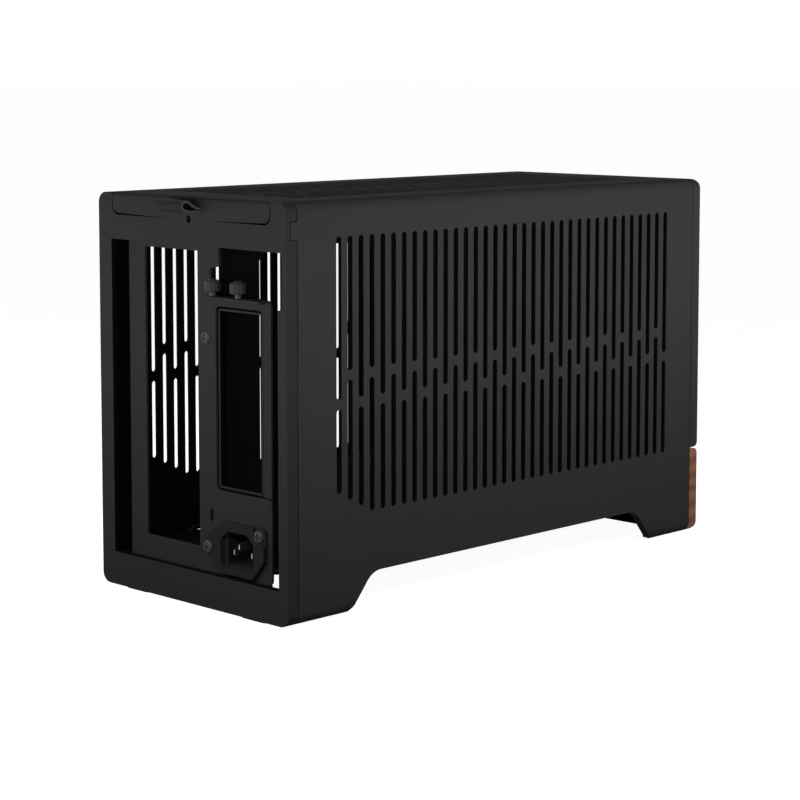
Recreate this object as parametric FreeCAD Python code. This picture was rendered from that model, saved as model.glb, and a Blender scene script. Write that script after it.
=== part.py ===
import FreeCAD, Part
import math
import os
from FreeCAD import Vector

# Sizes are in millimetres. The body's middle is at x = 0, y = 0, its underside at z = 0,
# the front faces -Y and the rear faces +Y. All pieces are then moved so that the origin
# is at the bottom centre of the whole case.

# Outer shell
shell_width = 153.0
shell_length = 343.0
shell_height = 218.0
long_edge_radius = 6.0
sheet = 2.0
seam = 0.5
cap_depth = 7.5
foot_proud = 0.8

# Flats round small hidden posts, hinge pins, small screw heads and knurled heads
post_flats = 8
pin_flats = 16
screw_flats = 16
knurl_flats = 18

# Slot grille of the side panels
slot_pitch = 8.0
slot_width = 3.5
slot_peak = 1.0
slot_rear_margin = 28.75
slot_front_margin = 26.75
slot_bottom = 53.0
slot_top_margin = 18.8
slot_gap = 5.2
slot_gap_rise_odd = 58.8
slot_gap_rise_even = 73.7
slot_corner_step = 4.0
slot_corner_count = 3

# Arch between the legs of a side panel
arch_height = 20.35
arch_toe_margin = 36.55
arch_slope_reach = 16.5
arch_top_radius = 13.0
arch_toe_radius = 8.0
arch_lip_depth = 5.2
leg_return = 10.0

# Rear frame
rear_face = 2.8
window_card_margin = 7.0
window_board_margin = 10.9
window_top_margin = 25.5
window_step_margin = 3.8
window_step_height = 29.3
window_sill = 1.0
tongue_drop = 9.5
tongue_height = 9.7
tongue_length = 4.45
tongue_gap = 0.3

# Lid
lid_side_margin = 12.1
lid_bend_radius = 2.5
flange_height = 11.7
flange_radius = 4.5
lid_slot_margin = 14.4
lid_gap_odd = -15.0
lid_gap_even = 0.0
lid_hole_radius = 1.8
lid_stud_inset = 6.4
lid_stud_end_gap = 17.75
lid_stud_radius = 1.6
lid_stud_length = 6.0

# Pull tab
tab_width = 20.6
tab_reach = 13.2
tab_roll_height = 6.6
tab_strap = 1.2
tab_drop = 5.8
tab_tail = 4.0
tab_clearance = 0.25

# Front pieces
front_edge_radius = 3.0
wood_top = 51.7
wood_seam = 0.9
wood_toe_radius = 4.0
boss_radius = 4.0
boss_margin = 21.5
boss_low_above = 22.0
boss_high_below = 22.0

# Chassis sheets
steel = 1.5
pan_floor = 17.4
deck_rise = 3.0
button_room = 2.0
ledge_lead = 3.0
pan_gap = 0.8
trough_depth = 3.2
trough_front_margin = 25.5
trough_length = 32.0
trough_side_margin = 16.5
vent_width = 34.0
vent_length = 27.0
vent_corner = 3.0
vent_side_margin = 29.5
vent_rear_margin = 21.5
foot_flange = 4.0
foot_flange_margin = 15.5
frame_side_margin = 5.5
frame_top_gap = 5.0
rail_web_margin = 10.5
rail_drop = 5.0
rail_height = 17.0
rail_flange = 14.0
crossbar_setback = 16.0
crossbar_width = 20.0
crossbar_thickness = 2.0

# Panel hinges and catches
pin_radius = 1.5
pin_clearance = 0.05
hinge_end_gap = 18.75
lug_width = 3.0
lug_radius = 3.3
knuckle_length = 5.0
knuckle_side_gap = 0.3
knuckle_overlap = 0.2
stud_radius = 1.8
stud_head_radius = 2.2
stud_head = 2.0
stud_drop = 14.0
stud_hinge_gap = 17.0
catch_half = 4.2
catch_clearance = 0.4
catch_length = 4.0

# Feet
foot_length = 20.0
foot_width = 5.0
foot_side_margin = 28.5

# Spine
spine_travel = 14.5
tray_face_x = -4.0
tray_length = 212.0
tray_foot = 18.0
tray_foot_rear_gap = 16.0
tray_window_rear_gap = 37.5
tray_window_length = 88.5
tray_window_bottom = 66.0
tray_window_top_gap = 6.0
strip_slot_rear_gap = 5.0
strip_slot_length = 6.6
strip_slot_height = 17.0
strip_slot_high_gap = 4.0
strip_slot_low_gap = 43.0
strip_slot_corner = 1.5
tray_window_corner = 6.0
cable_high_rear_gap = 156.0
cable_high_length = 16.0
cable_high_top_gap = 22.0
cable_high_height = 32.0
cable_low_front_gap = 5.0
cable_low_length = 14.0
cable_low_top_gap = 44.0
cable_low_height = 58.0
cable_slot_corner = 3.0
io_plate_recess = 6.0
io_plate_side_gap = 4.2
io_plate_bottom_gap = 0.6
io_plate_top_gap = 0.5
io_opening_width = 44.45
io_opening_head = 6.25
io_opening_x = -0.4
io_opening_bottom = 30.5
strip_upper_x = -17.1
strip_notch_x = -9.9
strip_notch_drop = 15.0
bay_x_near = -14.3
bay_side_margin = 6.0
bay_bottom = 63.0
bay_shelf_gap = 5.5
bay_slit = 0.8
bay_corner = 1.5
tongue_plate_radius = 3.0
shelf_drop = 29.0
shelf_reach = 5.7
slot_screw_pitch = 20.32
slot_screw_x = -14.9
slot_screw_reach = 2.3
thumb_head_radius = 4.3
thumb_head_height = 5.9
thumb_shaft_radius = 1.7
thumb_lift = 2.4
thumb_cap_radius = 2.2
thumb_cap_height = 0.9
lock_slot_x = -10.2
lock_slot_z = 48.8
lock_slot_height = 6.8
lock_slot_width = 3.0
pan_screw_x = -6.9
pan_screw_low_z = 31.8
pan_screw_drop = 23.0
pan_screw_radius = 3.4
pan_screw_height = 2.0
screw_shaft_radius = 1.5

# Mini-ITX board seats
board_setback = 12.27
board_first_hole = 10.16
board_low_span = 154.94
board_high_span = 132.08
board_row_inset = 1.27
standoff_radius = 3.2
standoff_flats = 6
standoff_height = 6.35
standoff_hole_radius = 1.4

# Mains inlet
inlet_x = -36.0
inlet_z = 34.0
inlet_half_width = 19.5
inlet_half_height = 14.5
inlet_chamfer_x = 9.0
inlet_chamfer_z = 11.0
inlet_flange = 3.0
inlet_depth = 24.0
inlet_body_wall = 1.2
cavity_width = 23.6
cavity_height = 16.6
cavity_chamfer = 5.0
cavity_depth = 17.0
cutout_gap = 0.4
blade_width = 4.0
blade_thickness = 2.0
blade_length = 13.0
blade_pitch = 14.0
blade_earth_rise = 4.0
inlet_screw_dx = -13.6
inlet_screw_dz = 9.2
inlet_screw_radius = 2.9

# Riser for the graphics card
riser_x = -17.5
riser_rear_gap = 46.0
riser_length = 104.0
riser_width = 16.0
riser_board_thickness = 1.6
riser_slot_length = 89.0
riser_slot_width = 7.5
riser_slot_height = 11.25
riser_groove_width = 1.8
riser_groove_depth = 8.0

# Power supply bracket, SFX pattern turned upright
psu_tray_gap = 16.0
psu_bracket_x = 6.0
psu_side_gap = 6.5
psu_head_gap = 20.6
psu_middle_drop = 65.0
psu_hole_across = 51.5
psu_hole_up = 113.0
psu_hole_radius = 2.0
psu_window_across = 40.0
psu_window_up = 100.0
psu_window_corner = 3.0
psu_foot = 14.0

# Front ports
port_axis_z = 26.0
button_side_margin = 24.5
port_pitch = 22.0
button_radius = 6.0
button_clearance = 0.3
button_collar = 1.2
button_collar_height = 1.0
button_stem_radius = 2.0
button_travel = 1.0
switch_gap = 0.1
switch_size = 7.0
switch_depth = 6.0
usb_c_width = 9.0
usb_c_height = 3.3
usb_a_width = 13.2
usb_a_height = 5.8
port_wall = 0.4
port_depth = 16.0
port_recess = 0.6
port_gap = 0.4
io_board_thickness = 1.6
io_board_width = 92.0
io_board_depth = 24.0
io_board_button_gap = 32.0
io_board_gap = 1.0

# Derived places
half_width = shell_width / 2
half_length = shell_length / 2
panel_end = half_length - cap_depth - seam / 2
cap_start = half_length - cap_depth + seam / 2
rear_inner = half_length - rear_face
panel_inner = half_width - sheet
lid_half = half_width - lid_side_margin
strip_end = lid_half + seam / 2
lid_edge = lid_half - seam / 2
hinge_x = half_width - long_edge_radius
hinge_z = long_edge_radius
plate_rear = half_length - io_plate_recess
plate_front = plate_rear - steel
frame_front = -cap_start
frame_rear = frame_front + steel
tray_back_x = tray_face_x - steel
pan_under = pan_floor - sheet
deck_floor = pan_floor + deck_rise
deck_under = deck_floor - sheet
pan_half = half_width - arch_lip_depth - pan_gap
rail_top = shell_height - rail_drop
rail_bottom = rail_top - rail_height
crossbar_under = rail_bottom - crossbar_thickness
io_plate_top = rail_bottom - io_plate_top_gap
port_front = -half_length + port_recess
port_rear = port_front + port_depth

# Grille and arch of the side panels
slot_first_y = panel_end - slot_rear_margin
slot_count = int((2 * panel_end - slot_rear_margin - slot_front_margin) / slot_pitch) + 1
slot_top = shell_height - slot_top_margin
slot_gap_middle_odd = slot_bottom + slot_gap_rise_odd
slot_gap_middle_even = slot_bottom + slot_gap_rise_even
arch_toe_half = panel_end - arch_toe_margin
arch_top_half = arch_toe_half - arch_slope_reach
hinge_y = panel_end - hinge_end_gap
stud_y = hinge_y - stud_hinge_gap
stud_z = shell_height - stud_drop

# Rear window, tongue and lid
window_card_edge = window_card_margin - half_width
window_board_edge = half_width - window_board_margin
window_bottom = pan_floor + window_sill
window_top = shell_height - window_top_margin
window_step_edge = window_step_margin - half_width
window_step_bottom = window_top - window_step_height
tongue_top = shell_height - tongue_drop
tongue_bottom = tongue_top - tongue_height
flange_bottom = shell_height - flange_height
lid_slot_half = lid_half - lid_slot_margin
lid_stud_y = panel_end - lid_stud_end_gap
tab_middle_z = shell_height - tab_drop

# Front pieces and chassis sheets
front_panel_bottom = wood_top + wood_seam
boss_x = half_width - boss_margin
trough_front_y = -half_length + trough_front_margin
trough_rear_y = trough_front_y + trough_length
trough_half = half_width - trough_side_margin
vent_x = half_width - vent_side_margin
vent_y = half_length - vent_rear_margin
ledge_front_y = vent_y - vent_length / 2 - ledge_lead
foot_flange_half = half_width - foot_flange_margin
frame_half = half_width - frame_side_margin
rail_web_x = half_width - rail_web_margin
foot_x = half_width - foot_side_margin
button_x = half_width - button_side_margin
usb_c_x = button_x - port_pitch
usb_a_x = (usb_c_x - port_pitch, usb_c_x - 2 * port_pitch)
io_board_x = button_x - io_board_button_gap

# Spine and power supply bracket
tray_front_y = plate_front - tray_length
tray_foot_rear_y = plate_front - tray_foot_rear_gap
tray_window_rear_y = plate_front - tray_window_rear_gap
tray_window_front_y = tray_window_rear_y - tray_window_length
tray_window_top = crossbar_under - tray_window_top_gap
tray_window = (tray_window_front_y, tray_window_rear_y, tray_window_bottom, tray_window_top)
cable_high_rear_y = plate_front - cable_high_rear_gap
cable_high_front_y = cable_high_rear_y - cable_high_length
cable_high_top = crossbar_under - cable_high_top_gap
cable_slot_high = (cable_high_front_y, cable_high_rear_y, cable_high_top - cable_high_height, cable_high_top)
cable_low_front_y = tray_front_y + cable_low_front_gap
cable_low_rear_y = cable_low_front_y + cable_low_length
cable_low_top = crossbar_under - cable_low_top_gap
cable_slot_low = (cable_low_front_y, cable_low_rear_y, cable_low_top - cable_low_height, cable_low_top)
crossbar_y = tray_front_y + crossbar_setback
io_plate_half = half_width - spine_travel - io_plate_side_gap
io_opening_height = io_plate_top - io_opening_bottom - io_opening_head
board_rows = io_opening_height - board_row_inset
shelf_z = io_plate_top - shelf_drop
bay_x_far = bay_side_margin - io_plate_half
bay_top = shelf_z - bay_shelf_gap
strip_notch_top = io_plate_top - strip_notch_drop
slot_screw_y = plate_rear + slot_screw_reach
pan_screw_high_z = shelf_z - pan_screw_drop
riser_rear_y = plate_front - riser_rear_gap
psu_bracket_y = tray_front_y - psu_tray_gap
psu_bracket_width = half_width - psu_bracket_x - psu_side_gap
psu_bracket_height = crossbar_under - deck_floor - psu_head_gap
psu_middle_up = psu_bracket_height - psu_middle_drop


# Outline helpers

def on_xz(y):
    return lambda p: Vector(p.x, y, p.y)


def on_yz(x):
    return lambda p: Vector(x, p.x, p.y)


def on_xy(z):
    return lambda p: Vector(p.x, p.y, z)


def rounded_face(corners, place):
    # Flat face from (a, b, radius) corners, with an arc at each corner that has a radius
    count = len(corners)
    points = [Vector(a, b, 0) for a, b, radius in corners]
    turns = []
    for i in range(count):
        here = points[i]
        radius = corners[i][2]
        if radius == 0:
            turns.append((here, None, here))
            continue
        back = (points[i - 1] - here).normalize()
        ahead = (points[(i + 1) % count] - here).normalize()
        half = back.getAngle(ahead) / 2
        reach = radius / math.tan(half)
        inward = (back + ahead).normalize()
        middle = here + inward * (radius / math.sin(half) - radius)
        turns.append((here + back * reach, middle, here + ahead * reach))
    edges = []
    for i in range(count):
        start, middle, stop = turns[i]
        following = turns[(i + 1) % count][0]
        if middle is not None:
            edges.append(Part.Arc(place(start), place(middle), place(stop)).toShape())
        if (following - stop).Length > 1e-6:
            edges.append(Part.LineSegment(place(stop), place(following)).toShape())
    return Part.Face(Part.Wire(edges))


def slab_x(corners, x0, x1):
    return rounded_face(corners, on_yz(x0)).extrude(Vector(x1 - x0, 0, 0))


def slab_y(corners, y0, y1):
    return rounded_face(corners, on_xz(y0)).extrude(Vector(0, y1 - y0, 0))


def slab_z(corners, z0, z1):
    return rounded_face(corners, on_xy(z0)).extrude(Vector(0, 0, z1 - z0))


def rect(a0, a1, b0, b1, radius=0):
    return [(a0, b0, radius), (a1, b0, radius), (a1, b1, radius), (a0, b1, radius)]


def square(a, b, half):
    return rect(a - half, a + half, b - half, b + half)


def flats(a, b, radius, count):
    # Regular outline with the given number of corners on the radius
    step = 2 * math.pi / count
    return [(a + radius * math.cos(i * step), b + radius * math.sin(i * step), 0) for i in range(count)]


def box(x0, x1, y0, y1, z0, z1):
    return Part.makeBox(x1 - x0, y1 - y0, z1 - z0, Vector(x0, y0, z0))


def rod_x(x0, x1, y, z, radius):
    return Part.makeCylinder(radius, x1 - x0, Vector(x0, y, z), Vector(1, 0, 0))


def rod_y(x, y0, y1, z, radius):
    return Part.makeCylinder(radius, y1 - y0, Vector(x, y0, z), Vector(0, 1, 0))


def rod_z(x, y, z0, z1, radius):
    return Part.makeCylinder(radius, z1 - z0, Vector(x, y, z0), Vector(0, 0, 1))


def slot_outline(middle, low, high, width, along_b=True):
    # Long slot with ends of three flats, along the second coordinate unless told otherwise
    side = width / 2
    tip = width / 4
    reach = side * math.sin(math.radians(60))
    points = [
        (middle - tip, low), (middle + tip, low),
        (middle + side, low + reach), (middle + side, high - reach),
        (middle + tip, high), (middle - tip, high),
        (middle - side, high - reach), (middle - side, low + reach),
    ]
    return [(a, b, 0) if along_b else (b, a, 0) for a, b in points]


def grille_slot(middle, low, high, along_b=True):
    # One of the many slots of a grille, with peaked ends that lie inside the real round ones
    side = slot_width / 2
    tip = side - slot_peak
    points = [
        (middle, low + tip), (middle + side, low + side), (middle + side, high - side),
        (middle, high - tip), (middle - side, high - side), (middle - side, low + side),
    ]
    return [(a, b, 0) if along_b else (b, a, 0) for a, b in points]


def cut_corners(a0, a1, b0, b1, cut):
    # Rectangle with its four corners cut off at an angle
    return [(a0 + cut, b0, 0), (a1 - cut, b0, 0), (a1, b0 + cut, 0), (a1, b1 - cut, 0),
            (a1 - cut, b1, 0), (a0 + cut, b1, 0), (a0, b1 - cut, 0), (a0, b0 + cut, 0)]


def round_seat(a, b, radius, count):
    # Flats that just touch a round piece of the radius
    return flats(a, b, radius / math.cos(math.pi / count), count)


def split_slots(low, high, gap_middle):
    # The two stretches of a slot on either side of its bridge
    return [(low, gap_middle - slot_gap / 2), (gap_middle + slot_gap / 2, high)]


def shell_section(inset):
    # Rear outline of the whole shell, moved inwards by inset
    radius = long_edge_radius - inset
    return rect(-half_width + inset, half_width - inset, inset, shell_height - inset, radius)


def mirrored(shape):
    return shape.mirror(Vector(0, 0, 0), Vector(1, 0, 0))


def slot_y(index):
    return slot_first_y - index * slot_pitch


# Outer shell

def make_rear_frame():
    ring = slab_y(shell_section(0), cap_start, half_length)
    ring = ring.cut(slab_y(shell_section(sheet), cap_start, rear_inner))
    window = slab_y([
        (window_card_edge, window_bottom, 0), (window_board_edge, window_bottom, 0),
        (window_board_edge, window_top, 0), (window_step_edge, window_top, 0),
        (window_step_edge, window_step_bottom, 0), (window_card_edge, window_step_bottom, 0),
    ], rear_inner, half_length)
    cut_bottom = flange_bottom - seam / 2
    cut_radius = flange_radius + seam
    lid_bay = slab_y([
        (-strip_end, cut_bottom, cut_radius), (strip_end, cut_bottom, cut_radius),
        (strip_end, shell_height, 0), (-strip_end, shell_height, 0),
    ], cap_start, half_length)
    hole = rod_y(0, rear_inner, half_length, flange_bottom, lid_hole_radius)
    notch = slab_x(
        rect(cap_start - tongue_length, cap_start + tongue_length, tongue_bottom, tongue_top),
        -half_width, half_width)
    return ring.cut(Part.makeCompound([window, lid_bay, hole, notch]))


def arch_corners(grow):
    # Outline of the gap under a side panel, grown outwards by grow
    slope = math.atan2(arch_height, arch_toe_half - arch_top_half)
    top_half = arch_top_half + grow * math.tan(slope / 2)
    toe_half = arch_toe_half + grow / math.sin(slope)
    top_radius = arch_top_radius + grow
    toe_radius = arch_toe_radius - grow
    height = arch_height + grow
    return [
        (-panel_end, -sheet, 0), (-panel_end, 0, 0),
        (-toe_half, 0, toe_radius), (-top_half, height, top_radius),
        (top_half, height, top_radius), (toe_half, 0, toe_radius),
        (panel_end, 0, 0), (panel_end, -sheet, 0),
    ]


def make_side_panel():
    # The panel on the -X side; the other one is its mirror image
    inner_radius = long_edge_radius - sheet
    profile = [
        (-strip_end, shell_height, 0), (-half_width, shell_height, long_edge_radius),
        (-half_width, 0, long_edge_radius), (-half_width + leg_return, 0, 0),
        (-half_width + leg_return, sheet, 0), (-panel_inner, sheet, inner_radius),
        (-panel_inner, shell_height - sheet, inner_radius), (-strip_end, shell_height - sheet, 0),
    ]
    panel = slab_y(profile, -panel_end, panel_end)
    arch = slab_x(arch_corners(0), -half_width, -half_width + leg_return)
    lip_edge = -half_width + arch_lip_depth
    lip = slab_x(arch_corners(sheet), -half_width, lip_edge)
    lip = lip.cut(slab_x(arch_corners(0), -half_width, lip_edge))
    lip = lip.common(slab_y(shell_section(0), -panel_end, panel_end))
    tongue = slab_x(
        rect(panel_end - tongue_length, cap_start + tongue_length - tongue_gap,
             tongue_bottom + tongue_gap, tongue_top - tongue_gap),
        -half_width, -panel_inner)
    knuckles = []
    knuckle_radius = inner_radius + knuckle_overlap
    near = hinge_y + lug_width / 2 + knuckle_side_gap
    far = near + knuckle_length
    for y0, y1 in ((near, far), (-far, -near)):
        knuckles.append(slab_y(flats(-hinge_x, hinge_z, knuckle_radius, post_flats), y0, y1))
    panel = panel.cut(arch).fuse([lip, tongue] + knuckles).removeSplitter()
    bore = round_seat(-hinge_x, hinge_z, pin_radius + pin_clearance, pin_flats)
    cuts = [slab_y(bore, -panel_end, panel_end)]
    for index in range(slot_count):
        middle = slot_gap_middle_even if index % 2 else slot_gap_middle_odd
        low = slot_bottom + slot_corner_step * max(0, slot_corner_count - index)
        for start, stop in split_slots(low, slot_top, middle):
            outline = grille_slot(slot_y(index), start, stop)
            cuts.append(slab_x(outline, -half_width, -panel_inner))
    return panel.cut(Part.makeCompound(cuts))


def make_panel_studs():
    # Headed studs on the inside of the -X panel that snap into the rail's catches
    studs = []
    for y in (-stud_y, stud_y):
        tip = -rail_web_x - sheet / 2
        neck = slab_x(flats(y, stud_z, stud_radius, post_flats), -panel_inner, tip - stud_head)
        head = slab_x(flats(y, stud_z, stud_head_radius, post_flats), tip - stud_head, tip)
        studs.append(neck.fuse(head))
    return Part.makeCompound(studs)


def make_top_panel():
    under = shell_height - sheet
    low = flange_bottom + seam / 2
    profile = [
        (-panel_end, under, 0), (half_length - sheet, under, 0),
        (half_length - sheet, low, 0), (half_length, low, 0),
        (half_length, shell_height, lid_bend_radius), (-panel_end, shell_height, 0),
    ]
    lid = slab_x(profile, -lid_edge, lid_edge)
    corners = [e for e in lid.Edges if all(abs(v.Z - low) < 1e-6 for v in e.Vertexes)
               and abs(e.Vertexes[0].X - e.Vertexes[1].X) < 1e-6]
    lid = lid.makeFillet(flange_radius, corners)
    cuts = [rod_y(0, half_length - sheet, half_length, flange_bottom, lid_hole_radius)]
    slit = tab_strap + tab_clearance
    cuts.append(box(-tab_width / 2 - tab_clearance, tab_width / 2 + tab_clearance,
                    half_length - sheet, half_length, tab_middle_z - slit, tab_middle_z + slit))
    for index in range(slot_count):
        middle = lid_gap_even if index % 2 else lid_gap_odd
        for start, stop in split_slots(-lid_slot_half, lid_slot_half, middle):
            outline = grille_slot(slot_y(index), start, stop, along_b=False)
            cuts.append(slab_z(outline, under, shell_height))
    return lid.cut(Part.makeCompound(cuts))


def lid_stud_places():
    x = lid_edge - lid_stud_inset
    return [(sx * x, sy * lid_stud_y) for sx in (-1, 1) for sy in (-1, 1)]


def make_lid_studs():
    under = shell_height - sheet
    return Part.makeCompound([slab_z(flats(x, y, lid_stud_radius, post_flats), under - lid_stud_length, under)
                              for x, y in lid_stud_places()])


def make_pull_tab():
    # Strap folded into a drop-shaped loop; its two ends pass through the lid's flange together
    tip = half_length + tab_reach
    roll = tab_roll_height / 2
    pinch = half_length + tab_strap
    swell = tip - tab_roll_height
    tail = half_length - tab_tail
    outer = [
        (tail, tab_middle_z - tab_strap, 0), (pinch, tab_middle_z - tab_strap, 0),
        (swell, tab_middle_z - roll, tab_strap * 3), (tip, tab_middle_z - roll, roll * 0.98),
        (tip, tab_middle_z + roll, roll * 0.98), (swell, tab_middle_z + roll, tab_strap * 3),
        (pinch, tab_middle_z + tab_strap, 0), (tail, tab_middle_z + tab_strap, 0),
    ]
    hollow = roll - tab_strap
    inner = [
        (pinch + tab_strap * 2, tab_middle_z, 0), (swell, tab_middle_z - hollow, 0),
        (tip - tab_strap, tab_middle_z - hollow, hollow * 0.98),
        (tip - tab_strap, tab_middle_z + hollow, hollow * 0.98),
        (swell, tab_middle_z + hollow, 0),
    ]
    side = tab_width / 2
    return slab_x(outer, -side, side).cut(slab_x(inner, -side, side))


# Front pieces

def make_front_panel():
    front = -half_length
    section = [(-half_width, front_panel_bottom, 0), (half_width, front_panel_bottom, 0),
               (half_width, shell_height, long_edge_radius),
               (-half_width, shell_height, long_edge_radius)]
    profile = [(front, front_panel_bottom, front_edge_radius), (frame_front, front_panel_bottom, 0),
               (frame_front, shell_height, 0), (front, shell_height, front_edge_radius)]
    shell = slab_y(section, front, frame_front).common(slab_x(profile, -half_width, half_width))
    hollow = slab_y(
        rect(-panel_inner, panel_inner, front_panel_bottom + sheet, shell_height - sheet,
             long_edge_radius - sheet),
        front + sheet, frame_front)
    bosses = [slab_y(flats(x, z, boss_radius, post_flats), front + sheet, frame_front)
              for x in (-boss_x, boss_x)
              for z in (front_panel_bottom + boss_low_above, shell_height - boss_high_below)]
    return shell.cut(hollow).fuse(bosses).removeSplitter()


def port_openings(grow, y0, y1):
    # Room for the ports and the button, with grow all round
    wide = usb_a_width / 2 + grow
    tall = usb_a_height / 2 + grow
    cuts = [slab_y(rect(x - wide, x + wide, port_axis_z - tall, port_axis_z + tall), y0, y1)
            for x in usb_a_x]
    reach = usb_c_width / 2 + grow
    outline = slot_outline(port_axis_z, usb_c_x - reach, usb_c_x + reach, usb_c_height + 2 * grow,
                           along_b=False)
    cuts.append(slab_y(outline, y0, y1))
    return cuts


def make_walnut_strip():
    front = -half_length
    section = [(-half_width, 0, long_edge_radius), (half_width, 0, long_edge_radius),
               (half_width, wood_top, 0), (-half_width, wood_top, 0)]
    profile = [(front, 0, wood_toe_radius), (frame_front, 0, 0),
               (frame_front, wood_top, 0), (front, wood_top, front_edge_radius)]
    wood = slab_y(section, front, frame_front).common(slab_x(profile, -half_width, half_width))
    cuts = port_openings(port_gap, front, frame_front)
    cuts.append(rod_y(button_x, front, frame_front, port_axis_z, button_radius + button_clearance))
    return wood.cut(Part.makeCompound(cuts))


def make_front_frame():
    clear_z = pan_under
    top = shell_height - frame_top_gap
    plate = slab_y([
        (-foot_flange_half, 0, 0), (foot_flange_half, 0, 0),
        (foot_flange_half, clear_z, 0), (frame_half, clear_z, 0),
        (frame_half, top - long_edge_radius, 0), (frame_half - long_edge_radius, top, 0),
        (-frame_half + long_edge_radius, top, 0), (-frame_half, top - long_edge_radius, 0),
        (-frame_half, clear_z, 0), (-foot_flange_half, clear_z, 0),
    ], frame_front, frame_rear)
    flange = box(-foot_flange_half, foot_flange_half, frame_front, frame_rear + foot_flange, 0, steel)
    cuts = port_openings(port_gap, frame_front, frame_rear)
    collar = button_radius + button_collar
    collar_hole = round_seat(button_x, port_axis_z, collar + button_clearance, post_flats)
    cuts.append(slab_y(collar_hole, frame_front, frame_rear))
    return plate.fuse(flange).cut(Part.makeCompound(cuts)).removeSplitter()


# Chassis

def make_base_pan():
    deck = box(-pan_half, pan_half, frame_rear, ledge_front_y, deck_under, deck_floor)
    step = box(-pan_half, pan_half, ledge_front_y - sheet, ledge_front_y, pan_under, deck_floor)
    ledge = box(-pan_half, pan_half, ledge_front_y - sheet, rear_inner, pan_under, pan_floor)
    wall = trough_depth
    trough_profile = [
        (trough_front_y, deck_under, 0), (trough_front_y + wall, deck_under - wall, 0),
        (trough_rear_y - wall, deck_under - wall, 0), (trough_rear_y, deck_under, 0),
        (trough_rear_y, deck_floor, 0), (trough_front_y, deck_floor, 0),
    ]
    trough = slab_x(trough_profile, -trough_half, trough_half)
    basin_profile = [(y, z + sheet, r) for y, z, r in trough_profile]
    basin = slab_x(basin_profile, -trough_half + sheet, trough_half - sheet)
    lugs = []
    for x in (-hinge_x, hinge_x):
        for y, under in ((-hinge_y, deck_under), (hinge_y, pan_under)):
            outline = slot_outline(x, hinge_z - lug_radius, under + sheet / 2, 2 * lug_radius)
            lugs.append(slab_y(outline, y - lug_width / 2, y + lug_width / 2))
    reach = button_radius + button_collar + button_clearance
    cuts = [basin, box(button_x - reach, button_x + reach, frame_rear, frame_rear + button_room,
                       deck_under, deck_floor)]
    for x in (-hinge_x, hinge_x):
        cuts.append(slab_y(round_seat(x, hinge_z, pin_radius, pin_flats), -panel_end, panel_end))
    for x in (-vent_x, vent_x):
        outline = cut_corners(x - vent_width / 2, x + vent_width / 2,
                              vent_y - vent_length / 2, vent_y + vent_length / 2, vent_corner)
        cuts.append(slab_z(outline, pan_under, pan_floor))
    return deck.fuse([step, ledge, trough] + lugs).cut(Part.makeCompound(cuts)).removeSplitter()


def make_hinge_pins():
    near = hinge_y - lug_width / 2
    far = hinge_y + lug_width / 2 + knuckle_side_gap + knuckle_length
    return Part.makeCompound([slab_y(flats(x, hinge_z, pin_radius, pin_flats), y0, y1)
                              for x in (-hinge_x, hinge_x) for y0, y1 in ((near, far), (-far, -near))])


def make_top_rail():
    # Rail on the -X side, with holes for the lid's studs
    profile = [
        (-rail_web_x, rail_bottom, 0), (-rail_web_x + steel, rail_bottom, 0),
        (-rail_web_x + steel, rail_top - steel, 0), (-rail_web_x + rail_flange, rail_top - steel, 0),
        (-rail_web_x + rail_flange, rail_top, 0), (-rail_web_x, rail_top, 0),
    ]
    rail = slab_y(profile, frame_rear, rear_inner)
    half = lid_stud_radius + catch_clearance
    holes = [slab_z(square(x, y, half), rail_top - steel, rail_top)
             for x, y in lid_stud_places() if x < 0]
    return rail.cut(Part.makeCompound(holes))


def make_panel_catches():
    # Square clips on the rails' webs, each with a socket for a stud
    clips = []
    near = -rail_web_x - catch_length
    for y in (-stud_y, stud_y):
        clip = slab_x(square(y, stud_z, catch_half), near, -rail_web_x)
        clip = clip.cut(slab_x(square(y, stud_z, stud_head_radius + catch_clearance), near, -rail_web_x))
        clips += [clip, mirrored(clip)]
    return Part.makeCompound(clips)


def make_lid_catches():
    # Square clips under the rails' flanges, each with a socket for a stud
    high = rail_top - steel
    low = high - catch_length
    clips = []
    for x, y in lid_stud_places():
        clip = slab_z(square(x, y, catch_half), low, high)
        clips.append(clip.cut(slab_z(square(x, y, lid_stud_radius + catch_clearance), low, high)))
    return Part.makeCompound(clips)


def make_spine_crossbar():
    reach = rail_web_x
    bar = box(-reach, reach, crossbar_y - crossbar_width / 2, crossbar_y + crossbar_width / 2,
              crossbar_under, rail_bottom)
    half_slot = screw_shaft_radius + catch_clearance
    run = spine_travel + half_slot
    middle = clamp_x()
    outline = slot_outline(crossbar_y, middle - run, middle + run, 2 * half_slot, along_b=False)
    return bar.cut(slab_z(outline, crossbar_under, rail_bottom))


def make_psu_bracket():
    x0 = psu_bracket_x
    x1 = x0 + psu_bracket_width
    z1 = deck_floor + psu_bracket_height
    plate = slab_y(rect(x0, x1, deck_floor, z1), psu_bracket_y, psu_bracket_y + steel)
    foot = box(x0, x1, psu_bracket_y, psu_bracket_y + psu_foot, deck_floor, deck_floor + steel)
    xm = (x0 + x1) / 2
    zm = deck_floor + psu_middle_up
    window = cut_corners(xm - psu_window_across / 2, xm + psu_window_across / 2,
                         zm - psu_window_up / 2, zm + psu_window_up / 2, psu_window_corner)
    cuts = [slab_y(window, psu_bracket_y, psu_bracket_y + steel)]
    for dx in (-psu_hole_across / 2, psu_hole_across / 2):
        for dz in (-psu_hole_up / 2, psu_hole_up / 2):
            cuts.append(rod_y(xm + dx, psu_bracket_y, psu_bracket_y + steel, zm + dz, psu_hole_radius))
    return plate.fuse(foot).cut(Part.makeCompound(cuts)).removeSplitter()


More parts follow.
